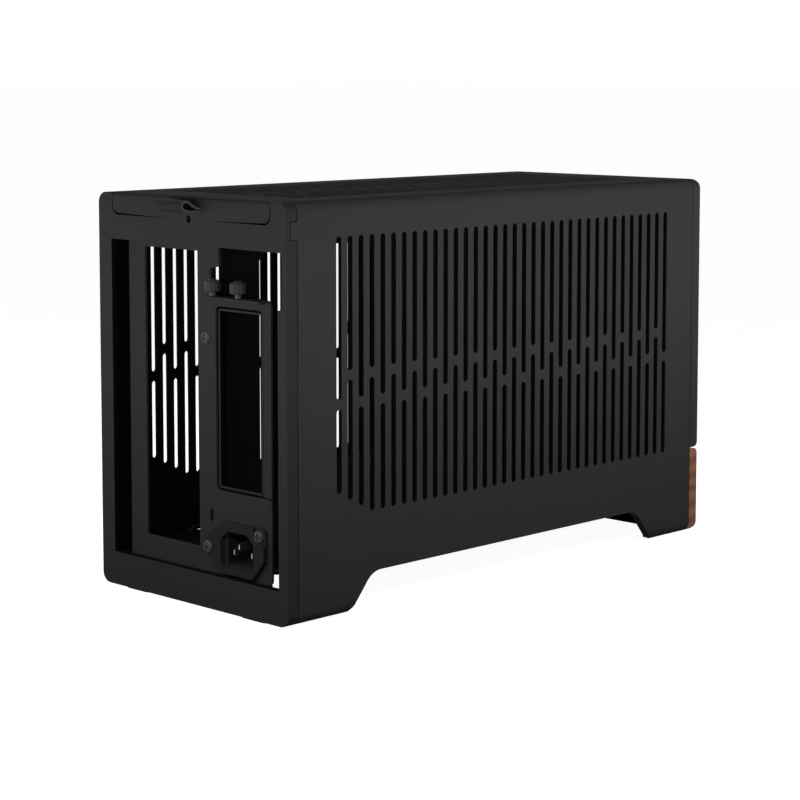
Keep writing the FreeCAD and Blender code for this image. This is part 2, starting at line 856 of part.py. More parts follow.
def make_rubber_feet():
    rear = cap_start + (cap_depth - seam / 2 - foot_width) / 2
    front = frame_rear - foot_width
    pads = []
    for y in (rear, front):
        for x in (-foot_x, foot_x):
            outline = slot_outline(y + foot_width / 2, x - foot_length / 2, x + foot_length / 2, foot_width,
                                   along_b=False)
            pads.append(slab_z(outline, -foot_proud, 0))
    return Part.makeCompound(pads)


# Front ports

def board_top():
    return port_axis_z - usb_a_height / 2


def make_io_board():
    z1 = board_top()
    y0 = frame_rear + io_board_gap
    board = box(io_board_x - io_board_width / 2, io_board_x + io_board_width / 2, y0, y0 + io_board_depth,
                z1 - io_board_thickness, z1)
    post_x = io_board_width / 2 - standoff_radius * 2
    posts = [slab_z(flats(io_board_x + dx, y0 + io_board_depth / 2, standoff_radius, post_flats),
                    deck_floor, z1 - io_board_thickness) for dx in (-post_x, post_x)]
    return board.fuse(posts)


def make_usb_a_ports():
    ports = []
    for x in usb_a_x:
        low = board_top()
        high = low + usb_a_height
        left = x - usb_a_width / 2
        right = x + usb_a_width / 2
        shell = box(left, right, port_front, port_rear, low, high)
        mouth = box(left + port_wall, right - port_wall, port_front, port_rear - port_wall,
                    low + port_wall, high - port_wall)
        tongue = box(left + port_wall * 3, right - port_wall * 3, port_front + port_wall * 2, port_rear,
                     low + usb_a_height / 2, high - port_wall * 3)
        ports.append(shell.cut(mouth).fuse(tongue))
    return Part.makeCompound(ports)


def make_usb_c_port():
    left = usb_c_x - usb_c_width / 2
    right = usb_c_x + usb_c_width / 2
    low = port_axis_z - usb_c_height / 2
    shell_outline = slot_outline(port_axis_z, left, right, usb_c_height, along_b=False)
    shell = slab_y(shell_outline, port_front, port_rear)
    mouth_outline = slot_outline(port_axis_z, left + port_wall, right - port_wall,
                                 usb_c_height - 2 * port_wall, along_b=False)
    mouth = slab_y(mouth_outline, port_front, port_rear - port_wall)
    tongue = box(left + port_wall * 4, right - port_wall * 4, port_front + port_wall * 2, port_rear,
                 port_axis_z - port_wall, port_axis_z + port_wall)
    seat = box(left, right, frame_rear + io_board_gap, port_rear, board_top(), low)
    return shell.cut(mouth).fuse([tongue, seat])


def stem_end():
    return frame_rear + io_board_gap + io_board_depth / 3


def make_power_button():
    front = -half_length
    cap = rod_y(button_x, front, frame_front, port_axis_z, button_radius)
    collar = rod_y(button_x, frame_front, frame_front + button_collar_height, port_axis_z,
                   button_radius + button_collar)
    stem = slab_y(flats(button_x, port_axis_z, button_stem_radius, post_flats), frame_front, stem_end())
    return cap.fuse([collar, stem]).removeSplitter()


def make_power_switch():
    half = switch_size / 2
    near = stem_end() + button_travel + switch_gap
    return box(button_x - half, button_x + half, near, near + switch_depth,
               board_top(), port_axis_z + half)


# Spine

def clamp_x():
    return tray_back_x - tray_foot / 2


def screw_shaft_y(x, z, y0, y1):
    return slab_y(flats(x, z, screw_shaft_radius, post_flats), y0, y1)


def make_spine_tray():
    x0 = tray_back_x
    x1 = tray_face_x
    wall = slab_x(rect(tray_front_y, plate_front, deck_floor, crossbar_under), x0, x1)
    foot = box(x0 - tray_foot, x1, tray_front_y, tray_foot_rear_y, deck_floor, deck_floor + steel)
    head = box(x0 - tray_foot, x1, tray_front_y, crossbar_y + crossbar_width / 2 + steel,
               crossbar_under - steel, crossbar_under)
    flange = box(strip_notch_x, x1, plate_front - steel, plate_front, io_opening_bottom - steel,
                 io_opening_bottom + io_opening_height)
    cuts = []
    windows = [(tray_window, tray_window_corner), (cable_slot_high, cable_slot_corner),
               (cable_slot_low, cable_slot_corner)]
    strip_rear = plate_front - strip_slot_rear_gap
    for gap in (strip_slot_high_gap, strip_slot_low_gap):
        top = crossbar_under - gap
        strip_slot = (strip_rear - strip_slot_length, strip_rear, top - strip_slot_height, top)
        windows.append((strip_slot, strip_slot_corner))
    for (y0, y1, z0, z1), corner in windows:
        cuts.append(slab_x(cut_corners(y0, y1, z0, z1, corner), x0, x1))
    clamp_hole = flats(clamp_x(), crossbar_y, screw_shaft_radius, post_flats)
    cuts.append(slab_z(clamp_hole, crossbar_under - steel, crossbar_under))
    for z in (pan_screw_low_z, pan_screw_high_z):
        cuts.append(screw_shaft_y(pan_screw_x, z, plate_front - steel, plate_front))
    return wall.fuse([foot, head, flange]).cut(Part.makeCompound(cuts)).removeSplitter()


def make_clamp_screw():
    x = clamp_x()
    shaft = slab_z(flats(x, crossbar_y, screw_shaft_radius, post_flats),
                   crossbar_under - steel * 2, rail_bottom)
    head = slab_z(flats(x, crossbar_y, thumb_head_radius, knurl_flats),
                  rail_bottom, rail_bottom + thumb_head_height / 2)
    return shaft.fuse(head).removeSplitter()


def shelf_screw_x(index):
    return slot_screw_x - index * slot_screw_pitch


def thumb_shaft(index):
    return flats(shelf_screw_x(index), slot_screw_y, thumb_shaft_radius, post_flats)


def make_rear_io_plate():
    low = pan_floor + io_plate_bottom_gap
    slit_end = bay_x_far + tongue_plate_radius
    outline = [
        (io_plate_half, low, 0), (-io_plate_half, low, tongue_plate_radius),
        (-io_plate_half, bay_bottom, bay_corner), (slit_end, bay_bottom, 0),
        (slit_end, bay_bottom + bay_slit, 0), (-io_plate_half, bay_bottom + bay_slit, 0),
        (-io_plate_half, shelf_z, tongue_plate_radius), (strip_notch_x, shelf_z, 0),
        (strip_notch_x, strip_notch_top, 0), (strip_upper_x, strip_notch_top + steel, 0),
        (strip_upper_x, io_plate_top, 0), (io_plate_half, io_plate_top, 0),
    ]
    plate = slab_y(outline, plate_front, plate_rear)
    shelf = box(-io_plate_half + tongue_plate_radius, bay_x_near + steel,
                plate_rear, plate_rear + shelf_reach, shelf_z - steel, shelf_z)
    cuts = [
        slab_y(rect(io_opening_x, io_opening_x + io_opening_width, io_opening_bottom,
                    io_opening_bottom + io_opening_height), plate_front, plate_rear),
        slab_y(rect(bay_x_far, bay_x_near, bay_bottom, bay_top, tongue_plate_radius),
               plate_front, plate_rear),
        slab_y(slot_outline(lock_slot_x, lock_slot_z - lock_slot_height / 2,
                            lock_slot_z + lock_slot_height / 2, lock_slot_width), plate_front, plate_rear),
        slab_y(cavity_outline(inlet_body_wall + cutout_gap), plate_front, plate_rear),
        screw_shaft_y(inlet_x + inlet_screw_dx, inlet_z + inlet_screw_dz, plate_front, plate_rear),
    ]
    for z in (pan_screw_low_z, pan_screw_high_z):
        cuts.append(screw_shaft_y(pan_screw_x, z, plate_front, plate_rear))
    for index in range(2):
        cuts.append(slab_z(thumb_shaft(index), shelf_z - steel, shelf_z))
    return plate.fuse(shelf).cut(Part.makeCompound(cuts)).removeSplitter()


def make_thumbscrews():
    screws = []
    for index in range(2):
        x = shelf_screw_x(index)
        base = shelf_z + thumb_lift
        crown = base + thumb_head_height
        shaft = slab_z(thumb_shaft(index), shelf_z - steel, base)
        head = slab_z(flats(x, slot_screw_y, thumb_head_radius, knurl_flats), base, crown)
        cap = slab_z(flats(x, slot_screw_y, thumb_cap_radius, post_flats), crown, crown + thumb_cap_height)
        screws.append(shaft.fuse([head, cap]).removeSplitter())
    return Part.makeCompound(screws)


def pan_head_screw(x, z, seat_y, radius, length):
    # Bevelled screw head on a face that looks rearwards, with its shaft behind it
    head = slab_y(flats(x, z, radius, screw_flats), seat_y, seat_y + pan_screw_height)
    rim = [e for e in head.Edges if abs(e.BoundBox.YMin - seat_y - pan_screw_height) < 1e-6]
    head = head.makeChamfer(pan_screw_height * 0.45, rim)
    return head.fuse(screw_shaft_y(x, z, seat_y - length, seat_y)).removeSplitter()


def make_plate_screws():
    return Part.makeCompound([pan_head_screw(pan_screw_x, z, plate_rear, pan_screw_radius, steel * 2)
                              for z in (pan_screw_low_z, pan_screw_high_z)])


def make_board_standoffs():
    rear = plate_front - board_setback - board_first_hole
    front = rear - board_low_span
    middle_z = io_opening_bottom + io_opening_height / 2
    low = middle_z - board_rows / 2
    high = middle_z + board_rows / 2
    places = [(rear, low), (front, low), (front + board_high_span, high), (front, high)]
    posts = []
    for y, z in places:
        top = tray_face_x + standoff_height
        post = slab_x(flats(y, z, standoff_radius, standoff_flats), tray_face_x, top)
        posts.append(post.cut(rod_x(tray_face_x, top, y, z, standoff_hole_radius)))
    return Part.makeCompound(posts)


def cavity_outline(grow):
    # Mouth of the inlet, with its two upper corners cut off, grown outwards by grow
    w = cavity_width / 2 + grow
    h = cavity_height / 2 + grow
    left = inlet_x - w
    right = inlet_x + w
    top = inlet_z + h
    return [
        (left, inlet_z - h, 0), (right, inlet_z - h, 0), (right, top - cavity_chamfer, 0),
        (right - cavity_chamfer, top, 0), (left + cavity_chamfer, top, 0),
        (left, top - cavity_chamfer, 0),
    ]


def make_power_inlet():
    w = inlet_half_width
    h = inlet_half_height
    face = plate_rear + inlet_flange
    flange = slab_y([
        (inlet_x + w, inlet_z - h, 0), (inlet_x + w, inlet_z + h - inlet_chamfer_x, 0),
        (inlet_x + w - inlet_chamfer_x / 2, inlet_z + h, 0), (inlet_x - w, inlet_z + h, 0),
        (inlet_x - w, inlet_z - h + inlet_chamfer_z, 0), (inlet_x - w + inlet_chamfer_x, inlet_z - h, 0),
    ], plate_rear, face)
    body = slab_y(cavity_outline(inlet_body_wall), plate_rear - inlet_depth, plate_rear)
    cavity = slab_y(cavity_outline(0), face - cavity_depth, face)
    screw_x = inlet_x + inlet_screw_dx
    screw_z = inlet_z + inlet_screw_dz
    pocket_outline = flats(screw_x, screw_z, inlet_screw_radius + cutout_gap, screw_flats)
    pocket = slab_y(pocket_outline, plate_rear + inlet_flange / 2, face)
    hole = screw_shaft_y(screw_x, screw_z, plate_rear, face)
    return flange.fuse(body).cut(Part.makeCompound([cavity, pocket.fuse(hole)])).removeSplitter()


def make_inlet_screw():
    seat = plate_rear + inlet_flange / 2
    return pan_head_screw(inlet_x + inlet_screw_dx, inlet_z + inlet_screw_dz, seat,
                          inlet_screw_radius, inlet_flange)


def make_inlet_pins():
    root = plate_rear + inlet_flange - cavity_depth
    blades = []
    for dx, dz in ((-blade_pitch / 2, 0), (0, blade_earth_rise), (blade_pitch / 2, 0)):
        x = inlet_x + dx
        z = inlet_z + dz - blade_earth_rise / 2
        blades.append(box(x - blade_thickness / 2, x + blade_thickness / 2, root, root + blade_length,
                          z - blade_width / 2, z + blade_width / 2))
    return Part.makeCompound(blades)


def make_riser_board():
    low = deck_floor + steel
    return box(riser_x - riser_width / 2, riser_x + riser_width / 2,
               riser_rear_y - riser_length, riser_rear_y, low, low + riser_board_thickness)


def make_riser_slot():
    low = deck_floor + steel + riser_board_thickness
    middle = riser_rear_y - riser_length / 2
    y0 = middle - riser_slot_length / 2
    y1 = middle + riser_slot_length / 2
    high = low + riser_slot_height
    body = box(riser_x - riser_slot_width / 2, riser_x + riser_slot_width / 2, y0, y1, low, high)
    groove = box(riser_x - riser_groove_width / 2, riser_x + riser_groove_width / 2,
                 y0 + riser_groove_width, y1 - riser_groove_width, high - riser_groove_depth, high)
    return body.cut(groove)


side_panel = make_side_panel()
panel_studs = make_panel_studs()
top_rail = make_top_rail()

pieces = {
    "rear_frame": make_rear_frame(),
    "base_pan": make_base_pan(),
    "front_frame": make_front_frame(),
    "left_top_rail": top_rail,
    "right_top_rail": mirrored(top_rail),
    "spine_crossbar": make_spine_crossbar(),
    "front_panel": make_front_panel(),
    "walnut_strip": make_walnut_strip(),
    "psu_bracket": make_psu_bracket(),
    "rubber_feet": make_rubber_feet(),
    "hinge_pins": make_hinge_pins(),
    "panel_catches": make_panel_catches(),
    "lid_catches": make_lid_catches(),
    "io_board": make_io_board(),
    "usb_a_ports": make_usb_a_ports(),
    "usb_c_port": make_usb_c_port(),
    "power_switch": make_power_switch(),
    "left_side_panel": side_panel,
    "left_panel_studs": panel_studs,
    "right_side_panel": mirrored(side_panel),
    "right_panel_studs": mirrored(panel_studs),
    "top_panel": make_top_panel(),
    "lid_studs": make_lid_studs(),
    "pull_tab": make_pull_tab(),
    "spine_tray": make_spine_tray(),
    "rear_io_plate": make_rear_io_plate(),
    "board_standoffs": make_board_standoffs(),
    "thumbscrews": make_thumbscrews(),
    "plate_screws": make_plate_screws(),
    "clamp_screw": make_clamp_screw(),
    "power_inlet": make_power_inlet(),
    "inlet_pins": make_inlet_pins(),
    "inlet_screw": make_inlet_screw(),
    "riser_board": make_riser_board(),
    "riser_slot": make_riser_slot(),
    "power_button": make_power_button(),
}

# The pull tab reaches past the rear, so the middle of the whole case lies behind the body's middle
origin_shift = Vector(0, -tab_reach / 2, foot_proud)
os.makedirs("parts", exist_ok=True)
for name, shape in pieces.items():
    shape.translate(origin_shift)
    shape.exportStep("parts/" + name + ".step")
    print(name, len(shape.Solids), "valid" if shape.isValid() else "not valid", round(shape.Volume, 1))
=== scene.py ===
import math
import bpy
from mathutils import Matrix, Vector


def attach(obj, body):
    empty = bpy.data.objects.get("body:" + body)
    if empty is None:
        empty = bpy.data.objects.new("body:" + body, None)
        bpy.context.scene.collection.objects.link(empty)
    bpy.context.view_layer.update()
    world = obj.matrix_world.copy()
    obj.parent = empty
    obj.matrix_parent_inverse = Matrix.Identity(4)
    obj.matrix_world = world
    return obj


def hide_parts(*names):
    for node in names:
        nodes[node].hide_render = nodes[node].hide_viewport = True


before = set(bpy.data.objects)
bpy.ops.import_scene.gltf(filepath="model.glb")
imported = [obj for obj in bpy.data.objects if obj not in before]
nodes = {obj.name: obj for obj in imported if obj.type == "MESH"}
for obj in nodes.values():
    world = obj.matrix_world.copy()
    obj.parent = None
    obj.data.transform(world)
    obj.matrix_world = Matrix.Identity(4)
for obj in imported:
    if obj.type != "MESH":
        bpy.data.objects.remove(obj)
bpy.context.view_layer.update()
mm = 0.001
bodyShift = Vector((0.0, -6.6, 0.8))  # from the shell's own middle to the frame's origin, in millimetres
facing = 0.5  # a face counts as facing a side when its normal leans at least this far towards it
shading = {"bevelFrom": 35, "easedSheet": 40, "foldedSheet": 32, "turned": 35, "knurled": 22,  # degrees
           "flatWeight": 80}
nodeClean = {"merge": 0.002, "flatAngle": 0.5}  # millimetres and degrees
print("frame loaded:", len(nodes), "nodes")


def place(x, y, z):  # from a place on the shell, in millimetres, to one in the frame
    return (Vector((x, y, z)) + bodyShift) * mm


def shellPlace(spot):  # the way back
    return spot / mm - bodyShift


def clearSelection():
    if bpy.context.object and bpy.context.object.mode != "OBJECT":
        bpy.ops.object.mode_set(mode="OBJECT")
    bpy.ops.object.select_all(action="DESELECT")


def makeActive(piece):
    clearSelection()
    piece.select_set(True)
    bpy.context.view_layer.objects.active = piece


def enterEdit():
    bpy.ops.object.mode_set(mode="EDIT")


def leaveEdit():
    bpy.ops.object.mode_set(mode="OBJECT")


def editAll(piece):  # edit mode with everything selected
    makeActive(piece)
    enterEdit()
    bpy.ops.mesh.select_all(action="SELECT")


def faceOutwards(piece):
    editAll(piece)
    bpy.ops.mesh.normals_make_consistent(inside=False)
    leaveEdit()


def selectNone(piece, kind):
    makeActive(piece)
    enterEdit()
    bpy.ops.mesh.select_mode(type=kind)
    bpy.ops.mesh.select_all(action="DESELECT")
    leaveEdit()


def pickVerts(piece, test):  # edit mode with only the corners whose place passes the test
    selectNone(piece, "VERT")
    for corner in piece.data.vertices:
        corner.select = test(shellPlace(corner.co))
    enterEdit()


def pickFaces(piece, test):  # edit mode with only the faces whose middle and normal pass the test
    selectNone(piece, "FACE")
    for face in piece.data.polygons:
        face.select = test(shellPlace(face.center), face.normal)
    enterEdit()


def paintFaces(piece, material, test):  # a further finish on the chosen faces
    pickFaces(piece, test)
    piece.data.materials.append(material)
    piece.active_material_index = len(piece.data.materials) - 1
    bpy.ops.object.material_slot_assign()
    leaveEdit()


def finishWith(piece, kind, **settings):
    makeActive(piece)
    modifier = piece.modifiers.new(kind.title(), kind)
    for key, value in settings.items():
        setattr(modifier, key, value)
    bpy.ops.object.modifier_apply(modifier=modifier.name)


def smoothByAngle(piece, angle):
    makeActive(piece)
    bpy.ops.object.shade_smooth_by_angle(angle=math.radians(angle))


def smoothSheet(piece, angle=shading["foldedSheet"]):  # flats keep an even shade up to their eased edges
    smoothByAngle(piece, angle)
    finishWith(piece, "WEIGHTED_NORMAL", keep_sharp=True, weight=shading["flatWeight"])


def softenEdges(piece, width, segments):
    finishWith(piece, "BEVEL", width=width * mm, segments=segments, limit_method="ANGLE",
               angle_limit=math.radians(shading["bevelFrom"]), use_clamp_overlap=False, loop_slide=False)
    smoothSheet(piece, shading["easedSheet"])


def rename(piece, name):
    piece.name = name
    piece.data.name = name
    return piece


def joinPieces(group, name):
    clearSelection()
    for piece in group:
        piece.select_set(True)
    bpy.context.view_layer.objects.active = group[0]
    bpy.ops.object.join()
    return rename(bpy.context.object, name)


def pieceFromNode(nodeName, pieceName):  # a merged copy of a CAD piece, to be finished finer
    source = nodes[nodeName]
    piece = source.copy()
    piece.data = source.data.copy()
    piece.parent = None
    rename(piece, pieceName)
    bpy.context.collection.objects.link(piece)
    editAll(piece)
    bpy.ops.mesh.remove_doubles(threshold=nodeClean["merge"] * mm)
    bpy.ops.mesh.dissolve_limited(angle_limit=math.radians(nodeClean["flatAngle"]))
    leaveEdit()
    return piece


def finishPiece(piece, body, slotName, material, *stoodFor):
    piece.data.materials.clear()
    piece.data.materials.append(material)
    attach(piece, body)
    if stoodFor:
        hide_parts(*stoodFor)


# Shader effects that the finishes share

def newGroup(name, inputs, outputs):
    group = bpy.data.node_groups.new(name, "ShaderNodeTree")
    for way, sockets in (("INPUT", inputs), ("OUTPUT", outputs)):
        for label, kind in sockets.items():
            group.interface.new_socket(name=label, in_out=way, socket_type="NodeSocket" + kind)
    return group, group.nodes.new("NodeGroupInput"), group.nodes.new("NodeGroupOutput")


def feed(tree, amount, socket):  # a link from another socket, or a plain value
    if hasattr(amount, "is_linked"):
        tree.links.new(amount, socket)
    else:
        socket.default_value = amount


def addNoise(tree, vector, scale, detail, rough):
    noise = tree.nodes.new("ShaderNodeTexNoise")
    for label, amount in (("Vector", vector), ("Scale", scale), ("Detail", detail), ("Roughness", rough)):
        feed(tree, amount, noise.inputs[label])
    return noise.outputs["Fac"]


def addRange(tree, value, low, high, toLow, toHigh):
    ranger = tree.nodes.new("ShaderNodeMapRange")
    for label, amount in (("Value", value), ("From Min", low), ("From Max", high),
                          ("To Min", toLow), ("To Max", toHigh)):
        feed(tree, amount, ranger.inputs[label])
    return ranger.outputs["Result"]


def addMath(tree, kind, first, second):
    node = tree.nodes.new("ShaderNodeMath")
    node.operation = kind
    feed(tree, first, node.inputs[0])
    feed(tree, second, node.inputs[1])
    return node.outputs["Value"]


colourMix = {"factor": 0, "first": 6, "second": 7, "result": 2}  # the Mix node's sockets for colours


def addMix(tree, factor, first, second, blend="MIX"):
    node = tree.nodes.new("ShaderNodeMix")
    node.data_type = "RGBA"
    node.blend_type = blend
    feed(tree, factor, node.inputs[colourMix["factor"]])
    feed(tree, first, node.inputs[colourMix["first"]])
    feed(tree, second, node.inputs[colourMix["second"]])
    return node.outputs[colourMix["result"]]


powderGrain = {"detail": 3.0, "fineRough": 0.6, "fineShare": 0.6, "cloudScale": 38.0, "cloudRough": 0.55,
               "cloudShare": 0.4, "middle": 0.5, "spread": (0.3, 0.7), "height": 0.06}


def makePowderGroup(setup):  # fine pebbled coat: colour, roughness and height of the grain
    group, start, end = newGroup(
        "powderCoatGrain",
        {"Vector": "Vector", "Tint": "Color", "Grain Scale": "Float", "Mottle": "Float",
         "Roughness Low": "Float", "Roughness High": "Float"},
        {"Color": "Color", "Roughness": "Float", "Height": "Float"})
    vector = start.outputs["Vector"]
    tint = start.outputs["Tint"]
    fine = addNoise(group, vector, start.outputs["Grain Scale"], setup["detail"], setup["fineRough"])
    cloud = addNoise(group, vector, setup["cloudScale"], setup["detail"], setup["cloudRough"])
    both = addMath(group, "ADD", addMath(group, "MULTIPLY", fine, setup["fineShare"]),
                   addMath(group, "MULTIPLY", cloud, setup["cloudShare"]))
    swing = addMath(group, "SUBTRACT", both, setup["middle"])
    mottled = addMath(group, "MULTIPLY", swing, start.outputs["Mottle"])
    factor = addMath(group, "ADD", mottled, setup["middle"])
    light = addMix(group, 1.0, tint, tint, "ADD")
    group.links.new(addMix(group, factor, (0.0, 0.0, 0.0, 1), light), end.inputs["Color"])
    group.links.new(addRange(group, both, *setup["spread"], start.outputs["Roughness Low"],
                             start.outputs["Roughness High"]), end.inputs["Roughness"])
    group.links.new(fine, end.inputs["Height"])
    return group


powderGroup = makePowderGroup(powderGrain)


def newMaterial(name):
    material = bpy.data.materials.new(name)
    material.use_nodes = True
    tree = material.node_tree
    shader = next(node for node in tree.nodes if node.type == "BSDF_PRINCIPLED")
    coordinates = tree.nodes.new("ShaderNodeTexCoord").outputs["Object"]
    return material, tree, shader, coordinates


def addBump(tree, shader, height, strength, distance):
    bump = tree.nodes.new("ShaderNodeBump")
    bump.inputs["Strength"].default_value = strength
    bump.inputs["Distance"].default_value = distance * mm
    tree.links.new(height, bump.inputs["Height"])
    tree.links.new(bump.outputs["Normal"], shader.inputs["Normal"])


def makeCoat(name, tint, grain=1500.0, mottle=0.16, roughness=(0.5, 0.65), specular=0.3, bump=0.2, metal=0.0):
    material, tree, shader, coordinates = newMaterial(name)
    coat = tree.nodes.new("ShaderNodeGroup")
    coat.node_tree = powderGroup
    values = {"Vector": coordinates, "Tint": (*tint, 1), "Grain Scale": grain, "Mottle": mottle,
              "Roughness Low": roughness[0], "Roughness High": roughness[1]}
    for label, amount in values.items():
        feed(tree, amount, coat.inputs[label])
    tree.links.new(coat.outputs["Color"], shader.inputs["Base Color"])
    tree.links.new(coat.outputs["Roughness"], shader.inputs["Roughness"])
    shader.inputs["Specular IOR Level"].default_value = specular
    shader.inputs["Metallic"].default_value = metal
    addBump(tree, shader, coat.outputs["Height"], bump, powderGrain["height"])
    return material


mattPaint = {"specular": 0.005, "roughness": (0.62, 0.78)}
fineMetal = {"grain": 2200.0, "bump": 0.06}
shellPaint = makeCoat("shellPaint", (0.034, 0.034, 0.034), **mattPaint)
chassisPaint = makeCoat("chassisPaint", (0.009, 0.009, 0.009), **mattPaint)
# painted shade: a slightly darker copy of the shell coat, for the rear frame's outer sides
sideShadePaint = makeCoat("sideShadePaint", (0.027, 0.027, 0.027), **mattPaint)
# painted shade: a near-black coat for inner faces, slot walls, the window's walls, deep recesses and the seam
# lip, where shade falls
shadePaint = makeCoat("shadePaint", (0.005, 0.005, 0.005), specular=0.003, roughness=(0.7, 0.85))
blackPlastic = makeCoat("blackPlastic", (0.022, 0.022, 0.022), grain=900.0, roughness=(0.5, 0.62),
                        specular=0.012)
blackScrew = makeCoat("blackScrew", (0.026, 0.026, 0.026), grain=2600.0, roughness=(0.34, 0.46), specular=0.1,
                      bump=0.08)
footRubber = makeCoat("footRubber", (0.015, 0.015, 0.015), grain=700.0, roughness=(0.8, 0.95))
plainSteel = makeCoat("plainSteel", (0.52, 0.52, 0.5), roughness=(0.25, 0.4), metal=1.0, **fineMetal)
dullSteel = makeCoat("dullSteel", (0.07, 0.07, 0.068), roughness=(0.4, 0.55), specular=0.05, **fineMetal)
bladeSide = makeCoat("bladeSide", (0.02, 0.02, 0.02), roughness=(0.4, 0.55), specular=0.03, **fineMetal)
buttonMetal = makeCoat("buttonMetal", (0.05, 0.05, 0.05), grain=2600.0, roughness=(0.3, 0.4), metal=1.0,
                       bump=0.06)
strapEdge = makeCoat("strapEdge", (0.085, 0.083, 0.08), grain=1800.0, roughness=(0.75, 0.9), specular=0.1)
boardMask = makeCoat("boardMask", (0.008, 0.011, 0.009), grain=500.0, roughness=(0.35, 0.5))

walnutGrain = {"stretch": (0.08, 1.0, 1.0), "fibre": (900.0, 5.0, 0.65),  # scale, detail, roughness
               "rings": {"Scale": 34.0, "Distortion": 4.0, "Detail": 3.0, "Detail Scale": 1.2},
               "dark": (0.15, 0.07, 0.037, 1), "light": (0.27, 0.132, 0.07, 1),
               "pore": (0.115, 0.052, 0.028, 1), "poreEdge": (0.36, 0.5), "spread": (0.3, 0.7),
               "roughness": (0.62, 0.42), "specular": 0.08, "bump": (0.35, 0.08)}  # strength, height


def makeWalnut(setup):
    material, tree, shader, coordinates = newMaterial("oiledWalnut")
    mapping = tree.nodes.new("ShaderNodeMapping")
    mapping.inputs["Scale"].default_value = setup["stretch"]  # fibres run across the front
    tree.links.new(coordinates, mapping.inputs["Vector"])
    fibre = addNoise(tree, mapping.outputs["Vector"], *setup["fibre"])
    rings = tree.nodes.new("ShaderNodeTexWave")
    rings.wave_type = "BANDS"
    rings.bands_direction = "Z"
    for label, amount in setup["rings"].items():
        rings.inputs[label].default_value = amount
    tree.links.new(mapping.outputs["Vector"], rings.inputs["Vector"])
    body = addMix(tree, rings.outputs["Fac"], setup["dark"], setup["light"])
    pores = addRange(tree, fibre, *setup["poreEdge"], 0.0, 1.0)
    tree.links.new(addMix(tree, pores, setup["pore"], body), shader.inputs["Base Color"])
    tree.links.new(addRange(tree, fibre, *setup["spread"], *setup["roughness"]), shader.inputs["Roughness"])
    shader.inputs["Specular IOR Level"].default_value = setup["specular"]
    addBump(tree, shader, fibre, *setup["bump"])
    return material


walnut = makeWalnut(walnutGrain)

leatherGrain = {"cells": 1300.0, "creaseWidth": 0.25, "crease": (0.012, 0.012, 0.012, 1),
                "cloud": (120.0, 4.0, 0.6),  # scale, detail, roughness
                "dark": (0.018, 0.018, 0.018, 1), "light": (0.034, 0.034, 0.034, 1),
                "roughness": (0.75, 0.5), "specular": 0.04, "bump": (0.4, 0.08)}  # strength, height


def makeLeather(setup):
    material, tree, shader, coordinates = newMaterial("tabLeather")
    cells = tree.nodes.new("ShaderNodeTexVoronoi")
    cells.feature = "DISTANCE_TO_EDGE"
    cells.inputs["Scale"].default_value = setup["cells"]
    tree.links.new(coordinates, cells.inputs["Vector"])
    crease = addRange(tree, cells.outputs["Distance"], 0.0, setup["creaseWidth"], 0.0, 1.0)
    tone = addMix(tree, addNoise(tree, coordinates, *setup["cloud"]), setup["dark"], setup["light"])
    tree.links.new(addMix(tree, crease, setup["crease"], tone), shader.inputs["Base Color"])
    tree.links.new(addRange(tree, crease, 0.0, 1.0, *setup["roughness"]), shader.inputs["Roughness"])
    shader.inputs["Specular IOR Level"].default_value = setup["specular"]
    addBump(tree, shader, crease, *setup["bump"])
    return material


tabLeather = makeLeather(leatherGrain)
print("finishes made")

# CAD pieces that keep their own shape

nodeFinish = (
    (chassisPaint, ("spine_tray",)),
    (blackPlastic, ("panel_catches", "lid_catches", "riser_slot", "power_switch")),
    (plainSteel, ("hinge_pins", "left_panel_studs", "right_panel_studs", "lid_studs", "usb_a_ports",
                  "usb_c_port")),
    (dullSteel, ("board_standoffs",)),
    (buttonMetal, ("power_button",)),
    (boardMask, ("io_board", "riser_board")),
)
for material, names in nodeFinish:
    for name in names:
        nodes[name].data.materials.clear()
        nodes[name].data.materials.append(material)
print("CAD pieces finished")

# Sheets drawn flat and folded: side panels and lid

grille = {"pitch": 8.0, "count": 35, "width": 3.5, "firstY": 135.0, "low": 53.0, "high": 199.2, "bridge": 5.2,
          "oddBridge": 111.8, "evenBridge": 126.7, "cornerStep": 4.0, "cornerCount": 3}
sheetMetal = {"thick": 2.0, "ease": 0.15, "easeSteps": 1, "bendSteps": 6, "endSteps": 12, "arcStep": 7.5,
              "merge": 0.001, "cutMerge": 0.0001}


def roundCorners(corners):  # corner points (a, b, radius) that have a radius become arcs
    points = []
    for index, (a, b, radius) in enumerate(corners):
        here = Vector((a, b))
        if radius == 0:
            points.append(here)
            continue
        back = (Vector(corners[index - 1][:2]) - here).normalized()
        ahead = (Vector(corners[(index + 1) % len(corners)][:2]) - here).normalized()
        half = back.angle(ahead) / 2
        centre = here + (back + ahead).normalized() * radius / math.sin(half)
        first = (here + back * radius / math.tan(half) - centre).normalized()
        last = (here + ahead * radius / math.tan(half) - centre).normalized()
        steps = max(2, round((math.pi - 2 * half) / math.radians(sheetMetal["arcStep"])))
        points += [centre + radius * first.slerp(last, step / steps) for step in range(steps + 1)]
    return points


def rectangle(left, right, low, high, radius):
    return [(left, low, radius), (right, low, radius), (right, high, radius), (left, high, radius)]


def circlePoints(radius, turns):
    angles = [2 * math.pi * step / turns for step in range(turns)]
    return [(radius * math.cos(angle), radius * math.sin(angle)) for angle in angles]


def roundSlot(middle, low, high, width, upright=True):
    radius = width / 2
    points = []
    for end, start in ((high - radius, 0.0), (low + radius, math.pi)):
        for step in range(sheetMetal["endSteps"] + 1):
            angle = start + math.pi * step / sheetMetal["endSteps"]
            points.append((middle + radius * math.cos(angle), end + radius * math.sin(angle)))
    return points if upright else [(b, a) for a, b in points]


def newCurve(name, fill, extrude):
    clearSelection()
    data = bpy.data.curves.new(name, "CURVE")
    data.dimensions = "2D"
    data.fill_mode = fill
    data.extrude = extrude
    return data


